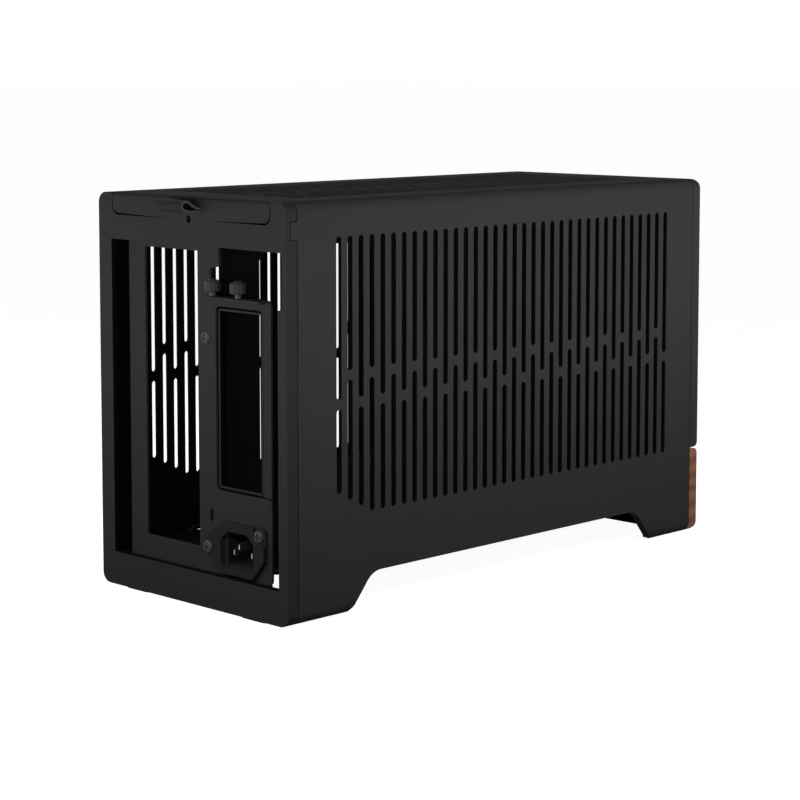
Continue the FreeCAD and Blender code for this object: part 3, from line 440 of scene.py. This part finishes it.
def addSpline(data, kind, outline):
    spline = data.splines.new(kind)
    spline.points.add(len(outline) - 1)
    for point, spot in zip(spline.points, outline):
        point.co = (spot[0], spot[1], 0, 1)
    return spline


def meshFromCurve(name, data):
    piece = bpy.data.objects.new(name, data)
    bpy.context.collection.objects.link(piece)
    makeActive(piece)
    bpy.ops.object.convert(target="MESH")
    return rename(bpy.context.object, name)


def flatSheet(name, rim, holes, thick, ease):  # a flat curve in millimetres, its edges eased, made a mesh
    data = newCurve(name, "BOTH", thick / 2 - ease)
    data.bevel_depth = ease
    data.bevel_resolution = sheetMetal["easeSteps"]
    data.offset = -ease
    for outline in [rim] + holes:
        addSpline(data, "POLY", outline).use_cyclic_u = True
    sheet = meshFromCurve(name, data)
    editAll(sheet)
    bpy.ops.mesh.remove_doubles(threshold=sheetMetal["merge"])
    bpy.ops.mesh.normals_make_consistent(inside=False)
    leaveEdit()
    return sheet


def creaseAt(sheet, starts, length):  # cut the sheet across where it will bend
    editAll(sheet)
    for start, direction in starts:
        for step in range(sheetMetal["bendSteps"] + 1):
            bpy.ops.mesh.select_all(action="SELECT")
            height = start + direction * length * step / sheetMetal["bendSteps"]
            bpy.ops.mesh.bisect(plane_co=(0, height, 0), plane_no=(0, 1, 0), threshold=sheetMetal["cutMerge"])
    leaveEdit()


def foldSheet(sheet, fold):  # each point of the flat sheet goes to its folded place
    for corner in sheet.data.vertices:
        corner.co = place(*fold(*corner.co))
    faceOutwards(sheet)


def splitSlots(low, high, bridge):
    return (low, bridge - grille["bridge"] / 2), (bridge + grille["bridge"] / 2, high)


def slotPlace(index):
    return grille["firstY"] - index * grille["pitch"]


def sideSlots():
    holes = []
    for index in range(grille["count"]):
        low = grille["low"] + grille["cornerStep"] * max(0, grille["cornerCount"] - index)
        bridge = grille["evenBridge"] if index % 2 else grille["oddBridge"]
        for start, stop in splitSlots(low, grille["high"], bridge):
            holes.append(roundSlot(slotPlace(index), start, stop, grille["width"]))
    return holes


sidePanel = {"half": 76.5, "end": 163.75, "top": 218.0, "bend": 6.0, "topEdge": 64.65, "footEdge": 66.5,
             "footRound": 1.0, "archTop": (110.7, 20.35, 13.0), "archToe": (127.2, 0.0, 8.0),  # y, z, radius
             "lipDepth": 5.2, "lipFrom": 0.8, "lipSink": 0.05,
             "tongue": (168.4, 199.1, 208.2, 1.0),  # reach, low, high, radius
             "wallFrom": 71.0, "slotField": (140.0, 52.0, 200.0)}  # half length, low, high
belowArch = (0, -40, 0)  # closes the arch's outline, and is left out again
hingeKnuckle = {"x": 70.5, "z": 6.0, "radius": 4.2, "bore": 1.55, "near": 146.8, "length": 5.0, "turns": 32,
                "ease": 0.2}


def archLine(grow):  # the gap between the legs from the rear toe to the front one, as y and z
    topY, topZ, topRound = sidePanel["archTop"]
    toeY, toeZ, toeRound = sidePanel["archToe"]
    end = sidePanel["end"]
    slope = math.atan2(topZ - toeZ, toeY - topY)
    topY += grow * math.tan(slope / 2)
    toeY += grow / math.sin(slope)
    corners = [(end, toeZ, 0), (toeY, toeZ, toeRound - grow), (topY, topZ + grow, topRound + grow),
               (-topY, topZ + grow, topRound + grow), (-toeY, toeZ, toeRound - grow), (-end, toeZ, 0)]
    return roundCorners(corners + [belowArch])[1:-2]


def makeArchLip(side):  # stiffening lip that follows the arch inside the panel
    thick = sheetMetal["thick"]
    line = archLine(0) + archLine(thick)[::-1]
    rim = [spot for spot in line if spot[1] > sidePanel["lipFrom"]]
    depth = sidePanel["lipDepth"] - thick
    lip = flatSheet("archLip", rim, [], depth, sheetMetal["ease"])
    middle = sidePanel["half"] - thick - depth / 2 + sidePanel["lipSink"]
    foldSheet(lip, lambda y, z, out: (side * (middle + out), y, z))
    return lip


def hingeKnuckles(side):
    knuckles = []
    outer, inner = [circlePoints(hingeKnuckle[key], hingeKnuckle["turns"]) for key in ("radius", "bore")]
    middle = hingeKnuckle["near"] + hingeKnuckle["length"] / 2
    for y in (-middle, middle):
        knuckle = flatSheet("hingeKnuckle", outer, [inner], hingeKnuckle["length"], hingeKnuckle["ease"])
        foldSheet(knuckle, lambda a, b, out: (side * hingeKnuckle["x"] + a, y + out, hingeKnuckle["z"] + b))
        knuckles.append(knuckle)
    return knuckles


def makeSidePanel(side, body, nodeName, pieceName):
    thick = sheetMetal["thick"]
    bend = sidePanel["bend"]
    middleBend = bend - thick / 2
    bendLength = middleBend * math.pi / 2
    high = sidePanel["top"] - bend
    end = sidePanel["end"]
    axis = sidePanel["half"] - bend
    flatTop = high + bendLength + axis - sidePanel["topEdge"]
    flatFoot = bend - bendLength - (axis - sidePanel["footEdge"])
    footRound = sidePanel["footRound"]
    reach, tongueLow, tongueHigh, tongueRound = sidePanel["tongue"]
    fieldHalf, fieldLow, fieldHigh = sidePanel["slotField"]

    def flatHeight(z):  # where a height of the foot's bend lies on the flat sheet
        return z if z > bend else bend - middleBend * math.asin(min(1.0, (bend - z) / bend))

    arch = [(spot[0], flatHeight(spot[1])) for spot in archLine(0)]
    toe = arch[0][0]
    rim = roundCorners([(-toe, flatFoot, 0), (-end, flatFoot, footRound), (-end, flatTop, 0),
                        (end, flatTop, 0), (end, tongueHigh, 0), (reach, tongueHigh, tongueRound),
                        (reach, tongueLow, tongueRound), (end, tongueLow, 0), (end, flatFoot, footRound),
                        (toe, flatFoot, 0)])
    sheet = flatSheet(pieceName, rim + arch, sideSlots(), thick, sheetMetal["ease"])
    creaseAt(sheet, ((high, 1), (bend, -1)), bendLength)

    def fold(y, along, out):
        if along > high + bendLength:
            x, z = axis - (along - high - bendLength), sidePanel["top"] - thick / 2 + out
        elif along > high:
            angle = (along - high) / middleBend
            x, z = axis + (middleBend + out) * math.cos(angle), high + (middleBend + out) * math.sin(angle)
        elif along > bend:
            x, z = sidePanel["half"] - thick / 2 + out, along
        elif along > bend - bendLength:
            angle = (bend - along) / middleBend
            x, z = axis + (middleBend + out) * math.cos(angle), bend - (middleBend + out) * math.sin(angle)
        else:
            x, z = axis - (bend - bendLength - along), thick / 2 - out
        return side * x, y, z

    def paintedShadeInside(spot, normal):  # painted shade on the inside of the wall and on the walls of its slots
        inside = normal.x * side < -facing
        inField = abs(spot.y) < fieldHalf and fieldLow < spot.z < fieldHigh
        return abs(spot.x) > sidePanel["wallFrom"] and (inside or (abs(normal.x) < facing and inField))

    foldSheet(sheet, fold)
    sheet = joinPieces([sheet, makeArchLip(side)] + hingeKnuckles(side), pieceName)
    smoothSheet(sheet)
    finishPiece(sheet, body, "shell_paint", shellPaint, nodeName)
    # painted shade: the near-black coat on the wall's inner faces and slot walls
    paintFaces(sheet, shadePaint, paintedShadeInside)


makeSidePanel(-1, "left_panel", "left_side_panel", "leftPanelSheet")
makeSidePanel(1, "right_panel", "right_side_panel", "rightPanelSheet")
print("side panels folded")

lidSheet = {"half": 63.95, "front": -163.75, "rear": 171.5, "top": 218.0, "bend": 2.5, "flangeLow": 206.9,
            "flangeRound": 4.5, "pullHole": (206.3, 1.8), "holeSteps": 16,  # height, radius
            "slit": (10.55, 209.85, 212.85),  # half width, low, high
            "slotHalf": 50.0, "oddBridge": -15.0, "evenBridge": 0.0, "seamBelow": 210.0, "closeTo": 0.01}


def makeLid(setup):
    thick = sheetMetal["thick"]
    bend = setup["bend"]
    middleBend = bend - thick / 2
    bendLength = middleBend * math.pi / 2
    bendStart = setup["rear"] - bend
    half = setup["half"]
    front = setup["front"]
    flangeStart = setup["top"] - bend

    def flatFlange(z):  # where a height of the flange lies on the flat sheet
        return bendStart + bendLength + flangeStart - z

    end = flatFlange(setup["flangeLow"])
    holeHeight, holeRadius = setup["pullHole"]
    drop = flatFlange(holeHeight) - end
    spread = math.asin(drop / holeRadius)
    notch = []
    for step in range(setup["holeSteps"] + 1):
        angle = math.pi + spread - (math.pi + 2 * spread) * step / setup["holeSteps"]
        notch.append(Vector((holeRadius * math.cos(angle), end + drop - holeRadius * math.sin(angle))))
    flangeRound = setup["flangeRound"]
    rim = roundCorners([(-half, front, 0), (half, front, 0), (half, end, flangeRound),
                        (-half, end, flangeRound)])
    corner = next(index for index, spot in enumerate(rim) if spot[0] < 0 and spot[1] > end - setup["closeTo"])
    rim = rim[:corner] + notch[::-1] + rim[corner:]
    slitHalf, slitLow, slitHigh = setup["slit"]
    holes = [roundSlot((flatFlange(slitLow) + flatFlange(slitHigh)) / 2, -slitHalf, slitHalf,
                       slitHigh - slitLow, upright=False)]
    for index in range(grille["count"]):
        bridge = setup["evenBridge"] if index % 2 else setup["oddBridge"]
        for start, stop in splitSlots(-setup["slotHalf"], setup["slotHalf"], bridge):
            holes.append(roundSlot(slotPlace(index), start, stop, grille["width"], upright=False))
    lid = flatSheet("lidSheet", rim, holes, thick, sheetMetal["ease"])
    creaseAt(lid, ((bendStart, 1),), bendLength)

    def fold(x, along, out):
        if along < bendStart:
            return x, along, setup["top"] - thick / 2 + out
        if along < bendStart + bendLength:
            angle = (along - bendStart) / middleBend
            radius = middleBend + out
            return x, bendStart + radius * math.sin(angle), flangeStart + radius * math.cos(angle)
        return x, setup["rear"] - thick / 2 + out, flangeStart - (along - bendStart - bendLength)

    def paintedShadeSeam(spot, normal):  # painted shade on the flange's lower edge and its inside
        return spot.z < setup["seamBelow"] and (normal.z < -facing or normal.y < -facing)

    foldSheet(lid, fold)
    smoothSheet(lid)
    finishPiece(lid, "lid", "shell_paint", shellPaint, "top_panel")
    # painted shade: the near-black coat along the seam under the flange
    paintFaces(lid, shadePaint, paintedShadeSeam)


makeLid(lidSheet)
print("lid folded")

# Pieces whose CAD shape is right and only needs eased edges

easedNodes = {  # name, body, slot, finish, width of the ease in millimetres, its segments
    "rear_frame": ("rearFrame", "chassis", "shell_paint", shellPaint, 0.22, 2),
    "front_panel": ("frontCover", "chassis", "shell_paint", shellPaint, 0.3, 3),
    "walnut_strip": ("walnutPlinth", "chassis", "walnut", walnut, 0.5, 3),
    "rear_io_plate": ("portPlate", "spine", "shell_paint", shellPaint, 0.15, 2),
    "base_pan": ("basePan", "chassis", "chassis_paint", chassisPaint, 0.25, 2),
    "front_frame": ("frontBulkhead", "chassis", "chassis_paint", chassisPaint, 0.2, 2),
    "left_top_rail": ("leftRail", "chassis", "chassis_paint", chassisPaint, 0.2, 2),
    "right_top_rail": ("rightRail", "chassis", "chassis_paint", chassisPaint, 0.2, 2),
    "spine_crossbar": ("crossbar", "chassis", "chassis_paint", chassisPaint, 0.2, 2),
    "psu_bracket": ("supplyBracket", "chassis", "chassis_paint", chassisPaint, 0.2, 2),
    "rubber_feet": ("footPads", "chassis", "foot_rubber", footRubber, 0.2, 2),
}
rearShade = {"outerFrom": 74.0, "windowHalf": 70.0, "windowLow": 18.0, "windowHigh": 208.0, "across": 0.3}


def easeNodes(table):
    for nodeName, (pieceName, body, slotName, material, width, segments) in table.items():
        piece = pieceFromNode(nodeName, pieceName)
        softenEdges(piece, width, segments)
        finishPiece(piece, body, slotName, material, nodeName)


def shadeRearFrame(setup):
    def paintedShadeOuterSide(spot, normal):
        return abs(normal.x) > facing and abs(spot.x) > setup["outerFrom"]

    def paintedShadeWindowWall(spot, normal):
        inWindow = abs(spot.x) < setup["windowHalf"] and setup["windowLow"] < spot.z < setup["windowHigh"]
        return abs(normal.y) < setup["across"] and inWindow

    rearFrame = bpy.data.objects["rearFrame"]
    # painted shade: a darker coat on the frame's outer sides, and a near-black one on the window's walls
    paintFaces(rearFrame, sideShadePaint, paintedShadeOuterSide)
    paintFaces(rearFrame, shadePaint, paintedShadeWindowWall)


easeNodes(easedNodes)
shadeRearFrame(rearShade)
print("sheet pieces eased")

# Small turned, moulded and folded pieces

def turnPiece(name, at, steps, turns, rearward=False):  # a disc drawn out by (height, radius) steps
    axis = Vector((0, 1, 0)) if rearward else Vector((0, 0, 1))
    tilt = math.radians(-90) if rearward else 0
    seat = place(*at)
    firstHeight, firstRadius = steps[0]
    clearSelection()
    bpy.ops.mesh.primitive_circle_add(vertices=turns, radius=firstRadius * mm, fill_type="NGON",
                                      location=seat + axis * firstHeight * mm, rotation=(tilt, 0, 0))
    piece = rename(bpy.context.object, name)
    bpy.ops.object.transform_apply(location=True, rotation=True, scale=True)
    enterEdit()
    for (lowHeight, lowRadius), (height, radius) in zip(steps, steps[1:]):
        bpy.ops.mesh.extrude_region_move(
            TRANSFORM_OT_translate={"value": axis * (height - lowHeight) * mm})
        grow = radius / lowRadius
        bpy.ops.transform.resize(value=(grow, 1 if rearward else grow, grow if rearward else 1),
                                 center_override=seat + axis * height * mm)
    faceOutwards(piece)
    return piece


def copyAside(piece, shift, name):
    makeActive(piece)
    bpy.ops.object.duplicate(linked=False)
    copied = rename(bpy.context.object, name)
    editAll(copied)
    bpy.ops.transform.translate(value=Vector(shift) * mm)
    leaveEdit()
    return copied


def makeBlock(name, low, high):
    clearSelection()
    middle = (Vector(low) + Vector(high)) / 2
    bpy.ops.mesh.primitive_cube_add(size=1, location=place(*middle), scale=(Vector(high) - Vector(low)) * mm)
    bpy.ops.object.transform_apply(location=True, rotation=True, scale=True)
    return rename(bpy.context.object, name)


def cutAway(piece, cutter):
    finishWith(piece, "BOOLEAN", operation="DIFFERENCE", solver="EXACT", object=cutter)
    bpy.data.objects.remove(cutter)


def knurl(piece, at, setup):  # every second column of the rim is pressed in
    low, high = setup["knurl"]

    def inGroove(spot):
        arm = spot - Vector(at)
        if not low < arm.z < high or arm.xy.length < setup["rim"]:
            return False
        column = math.atan2(arm.y, arm.x) / (2 * math.pi / setup["turns"])
        return round(column) % 2 == 0

    pickVerts(piece, inGroove)
    bpy.ops.transform.resize(value=(setup["ridge"], setup["ridge"], 1), center_override=place(*at))
    leaveEdit()


thumbScrew = {"x": (-14.9, -35.22), "y": 167.8, "shelf": 166.5, "turns": 48, "ridge": 0.935, "rim": 4.0,
              "knurl": (2.6, 8.0), "neckTop": 2.3,
              "steps": [(-1.4, 1.65), (2.4, 1.65), (2.4, 3.6), (2.85, 4.3), (7.75, 4.3), (8.3, 3.7),
                        (8.3, 2.3), (8.95, 2.2), (9.2, 1.9), (9.2, 1.2), (8.7, 1.0)]}


def makeThumbScrews(setup):
    near, far = setup["x"]
    first = (near, setup["y"], setup["shelf"])
    screw = turnPiece("thumbScrews", first, setup["steps"], setup["turns"])
    knurl(screw, first, setup)
    smoothByAngle(screw, shading["knurled"])
    second = copyAside(screw, (far - near, 0, 0), "thumbScrewFar")
    screws = joinPieces([screw, second], "thumbScrews")
    finishPiece(screws, "spine", "black_hardware", blackScrew, "thumbscrews")
    neckTop = setup["shelf"] + setup["neckTop"]
    paintFaces(screws, dullSteel, lambda spot, normal: spot.z < neckTop)  # the necks are bare steel


makeThumbScrews(thumbScrew)

clampScrew = {"at": (-14.5, -32.0, 196.0), "turns": 48, "ridge": 0.95, "rim": 4.0, "knurl": (0.2, 2.6),
              "steps": [(-4.0, 1.5), (0.05, 1.5), (0.05, 3.9), (0.4, 4.3), (2.3, 4.3), (2.75, 3.9),
                        (2.9, 2.6), (2.2, 2.2)]}


def makeClampScrew(setup):
    screw = turnPiece("clampScrew", setup["at"], setup["steps"], setup["turns"])
    knurl(screw, setup["at"], setup)
    smoothByAngle(screw, shading["knurled"])
    finishPiece(screw, "spine", "black_hardware", blackScrew, "clamp_screw")


makeClampScrew(clampScrew)

panScrew = {"steps": [(-2.4, 1.3), (0.0, 1.3), (0.0, 3.35), (0.55, 3.4), (1.1, 3.2), (1.5, 2.75), (1.8, 2.0),
                      (1.95, 1.0)],
            "turns": 40, "crossLong": 4.2, "crossWide": 1.0, "crossFloor": 0.5, "crossTop": 3.0,
            "plateSpots": ((-11.2, 168.5, 32.6), (-6.9, 165.5, 143.5)), "inletSpot": (-49.8, 167.0, 43.2)}


def makePanScrew(name, at, setup):
    screw = turnPiece(name, at, setup["steps"], setup["turns"], rearward=True)
    x, y, z = at
    floor, top = y + setup["crossFloor"], y + setup["crossTop"]
    for long, wide in ((setup["crossLong"], setup["crossWide"]), (setup["crossWide"], setup["crossLong"])):
        low, high = (x - long / 2, floor, z - wide / 2), (x + long / 2, top, z + wide / 2)
        cutAway(screw, makeBlock("crossBar", low, high))
    smoothByAngle(screw, shading["turned"])
    return screw


def makePanScrews(setup):
    lowSpot, highSpot = [Vector(spot) for spot in setup["plateSpots"]]
    low = makePanScrew("plateScrews", setup["plateSpots"][0], setup)
    high = copyAside(low, highSpot - lowSpot, "plateScrewHigh")
    aside = copyAside(low, Vector(setup["inletSpot"]) - lowSpot, "inletScrew")
    finishPiece(joinPieces([low, high], "plateScrews"), "spine", "black_hardware", dullSteel, "plate_screws")
    finishPiece(aside, "spine", "black_hardware", dullSteel, "inlet_screw")


makePanScrews(panScrew)
print("screws turned")


def growOutline(corners, amount):  # the same corners moved outwards by an amount
    spots = [Vector(corner[:2]) for corner in corners]
    turn = math.copysign(1, sum(a.x * b.y - b.x * a.y for a, b in zip(spots, spots[1:] + spots[:1])))
    leastRadius = 0.2
    grown = []
    for index, spot in enumerate(spots):
        back = (spot - spots[index - 1]).normalized()
        ahead = (spots[(index + 1) % len(spots)] - spot).normalized()
        sides = [turn * Vector((way.y, -way.x)) for way in (back, ahead)]
        moved = spot + (sides[0] + sides[1]) * amount / (1 + sides[0].dot(sides[1]))
        grown.append((moved.x, moved.y, max(leastRadius, corners[index][2] + amount)))
    return grown


def facePlate(name, rim, holes, front, back, ease):  # a flat outline that faces the rear, between two depths
    plate = flatSheet(name, roundCorners(rim), [roundCorners(hole) for hole in holes], back - front, ease)
    middle = (front + back) / 2
    foldSheet(plate, lambda a, b, out: (a, middle + out, b))
    return plate


inletPart = {"flange": [(-22.3, 47.9, 1.2), (-9.0, 38.2, 2.5), (-9.0, 27.6, 2.5), (-20.5, 19.6, 1.2),
                        (-45.2, 19.6, 1.2), (-54.4, 30.1, 1.2), (-54.4, 39.5, 0.4), (-50.6, 39.4, 1.5),
                        (-46.6, 43.0, 1.5), (-46.6, 47.9, 0.4)],
             "ear": [(-46.0, 47.7, 0.6), (-46.0, 38.4, 0.6), (-54.6, 38.4, 0.6), (-54.6, 47.7, 3.0)],
             "mouth": [(-26.2, 42.7, 1.0), (-20.6, 38.0, 1.0), (-20.6, 23.3, 2.4), (-46.6, 23.3, 2.4),
                       (-46.6, 38.0, 1.0), (-41.0, 42.7, 1.0)],
             "flangeSeat": 165.6, "face": 168.5, "flangeEase": 0.3, "earSeat": 165.55, "earFace": 167.0,
             "lip": 166.4, "back": 152.0, "wallEase": 0.2, "rim": 0.75, "wall": 1.5, "backWall": 1.5,
             "backEase": 0.1}
inletBlade = {"x": (-40.6, -26.6, -33.6), "z": (31.1, 31.1, 35.2), "tip": (164.2, 164.2, 166.8), "wide": 2.0,
              "tall": 4.0, "tipEase": 0.75, "tipFacing": 0.9}


def makeInletHousing(setup):
    mouth, back, wallEase = setup["mouth"], setup["back"], setup["wallEase"]
    throat = growOutline(mouth, -setup["rim"])
    shroud = growOutline(mouth, setup["wall"])
    group = [facePlate("inletHousing", setup["flange"], [mouth], setup["flangeSeat"], setup["face"],
                       setup["flangeEase"]),
             facePlate("inletEar", setup["ear"], [], setup["earSeat"], setup["earFace"], wallEase),
             facePlate("inletShroud", shroud, [throat], back, setup["lip"], wallEase),
             facePlate("inletBack", shroud, [], back - setup["backWall"], back, setup["backEase"])]
    housing = joinPieces(group, "inletHousing")
    smoothSheet(housing)
    finishPiece(housing, "spine", "black_plastic", blackPlastic, "power_inlet")


def makeInletBlades(setup, back):
    def atTip(spot, normal):
        return normal.y > setup["tipFacing"]

    wide, tall = setup["wide"], setup["tall"]
    group = []
    for x, z, tip in zip(setup["x"], setup["z"], setup["tip"]):
        blade = makeBlock("inletBlade", (x - wide / 2, back, z - tall / 2), (x + wide / 2, tip, z + tall / 2))
        pickFaces(blade, atTip)
        bpy.ops.mesh.bevel(offset=setup["tipEase"] * mm, segments=2, affect="EDGES")
        leaveEdit()
        group.append(blade)
    blades = joinPieces(group, "inletBlades")
    smoothByAngle(blades, shading["turned"])
    finishPiece(blades, "spine", "hardware", bladeSide, "inlet_pins")
    paintFaces(blades, plainSteel, atTip)  # bright steel on the tips that face the rear, a darker coat on the sides


makeInletHousing(inletPart)
makeInletBlades(inletBlade, inletPart["back"])
print("mains inlet moulded")

bayRim = {"opening": rectangle(-51.8, -14.3, 63.0, 161.0, 3.0), "gap": 1.25, "rim": 1.15, "front": 161.0,
          "back": 164.6, "baseFront": 160.8, "floor": 162.4, "spread": 5.5, "ease": 0.2, "paintedShadeBelow": 163.9}


def makeBayRim(setup):  # raised rim inside the opening, on a flat frame behind the plate; its deeper faces get painted shade
    outer = growOutline(setup["opening"], -setup["gap"])
    inner = growOutline(outer, -setup["rim"])
    base = growOutline(setup["opening"], setup["spread"])
    group = [facePlate("bayRim", outer, [inner], setup["front"], setup["back"], setup["ease"]),
             facePlate("bayRimBase", base, [inner], setup["baseFront"], setup["floor"], setup["ease"])]
    rim = joinPieces(group, "bayRim")
    smoothSheet(rim)
    finishPiece(rim, "spine", "shell_paint", shellPaint)
    # painted shade: the near-black coat on the faces that lie deep in the opening
    paintFaces(rim, shadePaint, lambda spot, normal: spot.y < setup["paintedShadeBelow"])


makeBayRim(bayRim)
print("bay rim set")

pullStrap = {"path": [(166.5, 212.05), (171.5, 212.05), (174.4, 212.5), (177.2, 214.2), (179.6, 216.15),
                      (182.4, 216.45), (183.98, 215.0), (183.98, 212.8), (182.4, 211.5), (179.6, 211.0),
                      (175.0, 210.7), (171.5, 210.65), (166.5, 210.65)],
             "half": 10.2, "thick": 1.4, "ease": 0.15, "easeFrom": 50, "bendSteps": 6, "edgeFacing": 0.6}


def makePullStrap(setup):  # a ribbon along the loop's line, given its thickness
    data = newCurve("pullStrap", "NONE", setup["half"])
    spline = addSpline(data, "NURBS", setup["path"])
    spline.order_u = 4  # a cubic line
    spline.use_endpoint_u = True
    spline.resolution_u = setup["bendSteps"]
    strap = meshFromCurve("pullStrap", data)
    finishWith(strap, "SOLIDIFY", thickness=setup["thick"], offset=0.0, use_even_offset=True)
    foldSheet(strap, lambda y, z, across: (across, y, z))
    finishWith(strap, "BEVEL", width=setup["ease"] * mm, segments=2, limit_method="ANGLE",
               angle_limit=math.radians(setup["easeFrom"]))
    smoothSheet(strap)
    finishPiece(strap, "lid", "tab_leather", tabLeather, "pull_tab")
    paintFaces(strap, strapEdge, lambda spot, normal: abs(normal.x) > setup["edgeFacing"])  # the paler core


makePullStrap(pullStrap)
print("pull strap folded")

seamLip = {"outline": rectangle(-62.0, 62.0, 202.4, 208.9, 1.0), "front": 167.3, "back": 168.7, "ease": 0.25}
ledgeStrip = {"outline": rectangle(-56.0, 56.0, 162.8, 168.7, 0.5), "low": 17.4, "high": 17.85, "ease": 0.1}


def makeSeamLip(setup):  # stands behind the seam under the lid's flange, coated near-black as painted shade
    lip = facePlate("seamLip", setup["outline"], [], setup["front"], setup["back"], setup["ease"])
    smoothSheet(lip)
    # painted shade: the whole lip takes the near-black coat
    finishPiece(lip, "chassis", "chassis_paint", shadePaint)


def makeLedgeStrip(setup):  # closes the gap under the slot plate
    low, high = setup["low"], setup["high"]
    strip = flatSheet("ledgeStrip", roundCorners(setup["outline"]), [], high - low, setup["ease"])
    foldSheet(strip, lambda a, b, out: (a, b, (low + high) / 2 + out))
    smoothSheet(strip)
    finishPiece(strip, "chassis", "chassis_paint", chassisPaint)


makeSeamLip(seamLip)
makeLedgeStrip(ledgeStrip)
print("seam lip and ledge strip set")

# Camera, floor and light

cameraSetup = {"eye": (-889.56, 913.03, 285.02), "turn": 224.659, "pitch": 5.287,
               "focal": 2194.14, "centreRow": 272.0, "size": 800.0,  # in pixels of the picture
               "sensor": 36.0, "near": 0.01}


def makeCamera(setup):
    data = bpy.data.cameras.new("photoCamera")
    camera = bpy.data.objects.new("photoCamera", data)
    bpy.context.collection.objects.link(camera)
    camera.location = place(*setup["eye"])
    camera.rotation_euler = (math.radians(90 - setup["pitch"]), 0, math.radians(setup["turn"]))
    data.sensor_width = setup["sensor"]
    data.lens = setup["focal"] * setup["sensor"] / setup["size"]
    data.shift_y = (setup["centreRow"] - setup["size"] / 2) / setup["size"]
    data.clip_start = setup["near"]
    bpy.context.scene.camera = camera


makeCamera(cameraSetup)

floorSetup = {"half": 30.0, "bounce": 0.06, "seen": 0.4, "glow": 0.95}


def seenDirectly(tree):  # camera, mirror and glass rays
    path = tree.nodes.new("ShaderNodeLightPath")
    both = addMath(tree, "MAXIMUM", path.outputs["Is Camera Ray"], path.outputs["Is Glossy Ray"])
    return addMath(tree, "MAXIMUM", both, path.outputs["Is Transmission Ray"])


def makeFloor(setup):
    clearSelection()
    bpy.ops.mesh.primitive_plane_add(size=2 * setup["half"], location=(0, 0, 0))
    floor = bpy.context.object
    floor.name = "paleFloor"
    material = bpy.data.materials.new("paleFloor")
    material.use_nodes = True
    tree = material.node_tree
    tree.nodes.clear()
    output = tree.nodes.new("ShaderNodeOutputMaterial")
    matt = tree.nodes.new("ShaderNodeBsdfDiffuse")
    direct = seenDirectly(tree)
    tree.links.new(addRange(tree, direct, 0.0, 1.0, setup["bounce"], setup["seen"]), matt.inputs["Color"])
    glow = tree.nodes.new("ShaderNodeEmission")  # white to the eye, with the shadow left in it
    tree.links.new(addMath(tree, "MULTIPLY", direct, setup["glow"]), glow.inputs["Strength"])
    adder = tree.nodes.new("ShaderNodeAddShader")
    tree.links.new(matt.outputs["BSDF"], adder.inputs[0])
    tree.links.new(glow.outputs["Emission"], adder.inputs[1])
    tree.links.new(adder.outputs["Shader"], output.inputs["Surface"])
    floor.data.materials.append(material)


makeFloor(floorSetup)

worldSetup = {"ambient": 0.085, "seen": 1.0}


def makeWorld(setup):
    world = bpy.data.worlds.new("paleStudio")
    bpy.context.scene.world = world
    world.use_nodes = True
    tree = world.node_tree
    background = next(node for node in tree.nodes if node.type == "BACKGROUND")
    background.inputs["Color"].default_value = (1, 1, 1, 1)
    strength = addRange(tree, seenDirectly(tree), 0.0, 1.0, setup["ambient"], setup["seen"])
    tree.links.new(strength, background.inputs["Strength"])


makeWorld(worldSetup)

longLamp = {"size": (0.55, 0.05), "power": 0.63}
endLamp = {"size": (1.4, 0.08), "power": 1.62}
lampSetup = {
    "sideLamp": {"at": (-0.26, -0.06, 0.19), "aim": (0.0, -0.06, 0.19), **longLamp},
    "farLamp": {"at": (0.26, -0.06, 0.19), "aim": (0.0, -0.06, 0.19), **longLamp},
    "rearLamp": {"at": (0.047, 0.36, 0.17), "aim": (0.047, 0.0, 0.17), **endLamp},
    "frontLamp": {"at": (-0.047, -0.373, 0.17), "aim": (-0.047, 0.0, 0.17), **endLamp},
    "topLamp": {"at": (0.0, 0.0, 1.0), "aim": (0.0, 0.0, 0.0), "size": (0.4, 0.6), "power": 0.8},
}


def makeLamps(setup):
    for name, lamp in setup.items():
        data = bpy.data.lights.new(name, "AREA")
        data.shape = "RECTANGLE"
        data.size, data.size_y = lamp["size"]
        data.energy = lamp["power"]
        holder = bpy.data.objects.new(name, data)
        bpy.context.collection.objects.link(holder)
        holder.location = lamp["at"]
        holder.rotation_euler = (Vector(lamp["aim"]) - Vector(lamp["at"])).to_track_quat("-Z", "Y").to_euler()
        holder.visible_camera = False


makeLamps(lampSetup)
bpy.context.scene.view_settings.view_transform = "Standard"
print("camera, floor and lamps set")
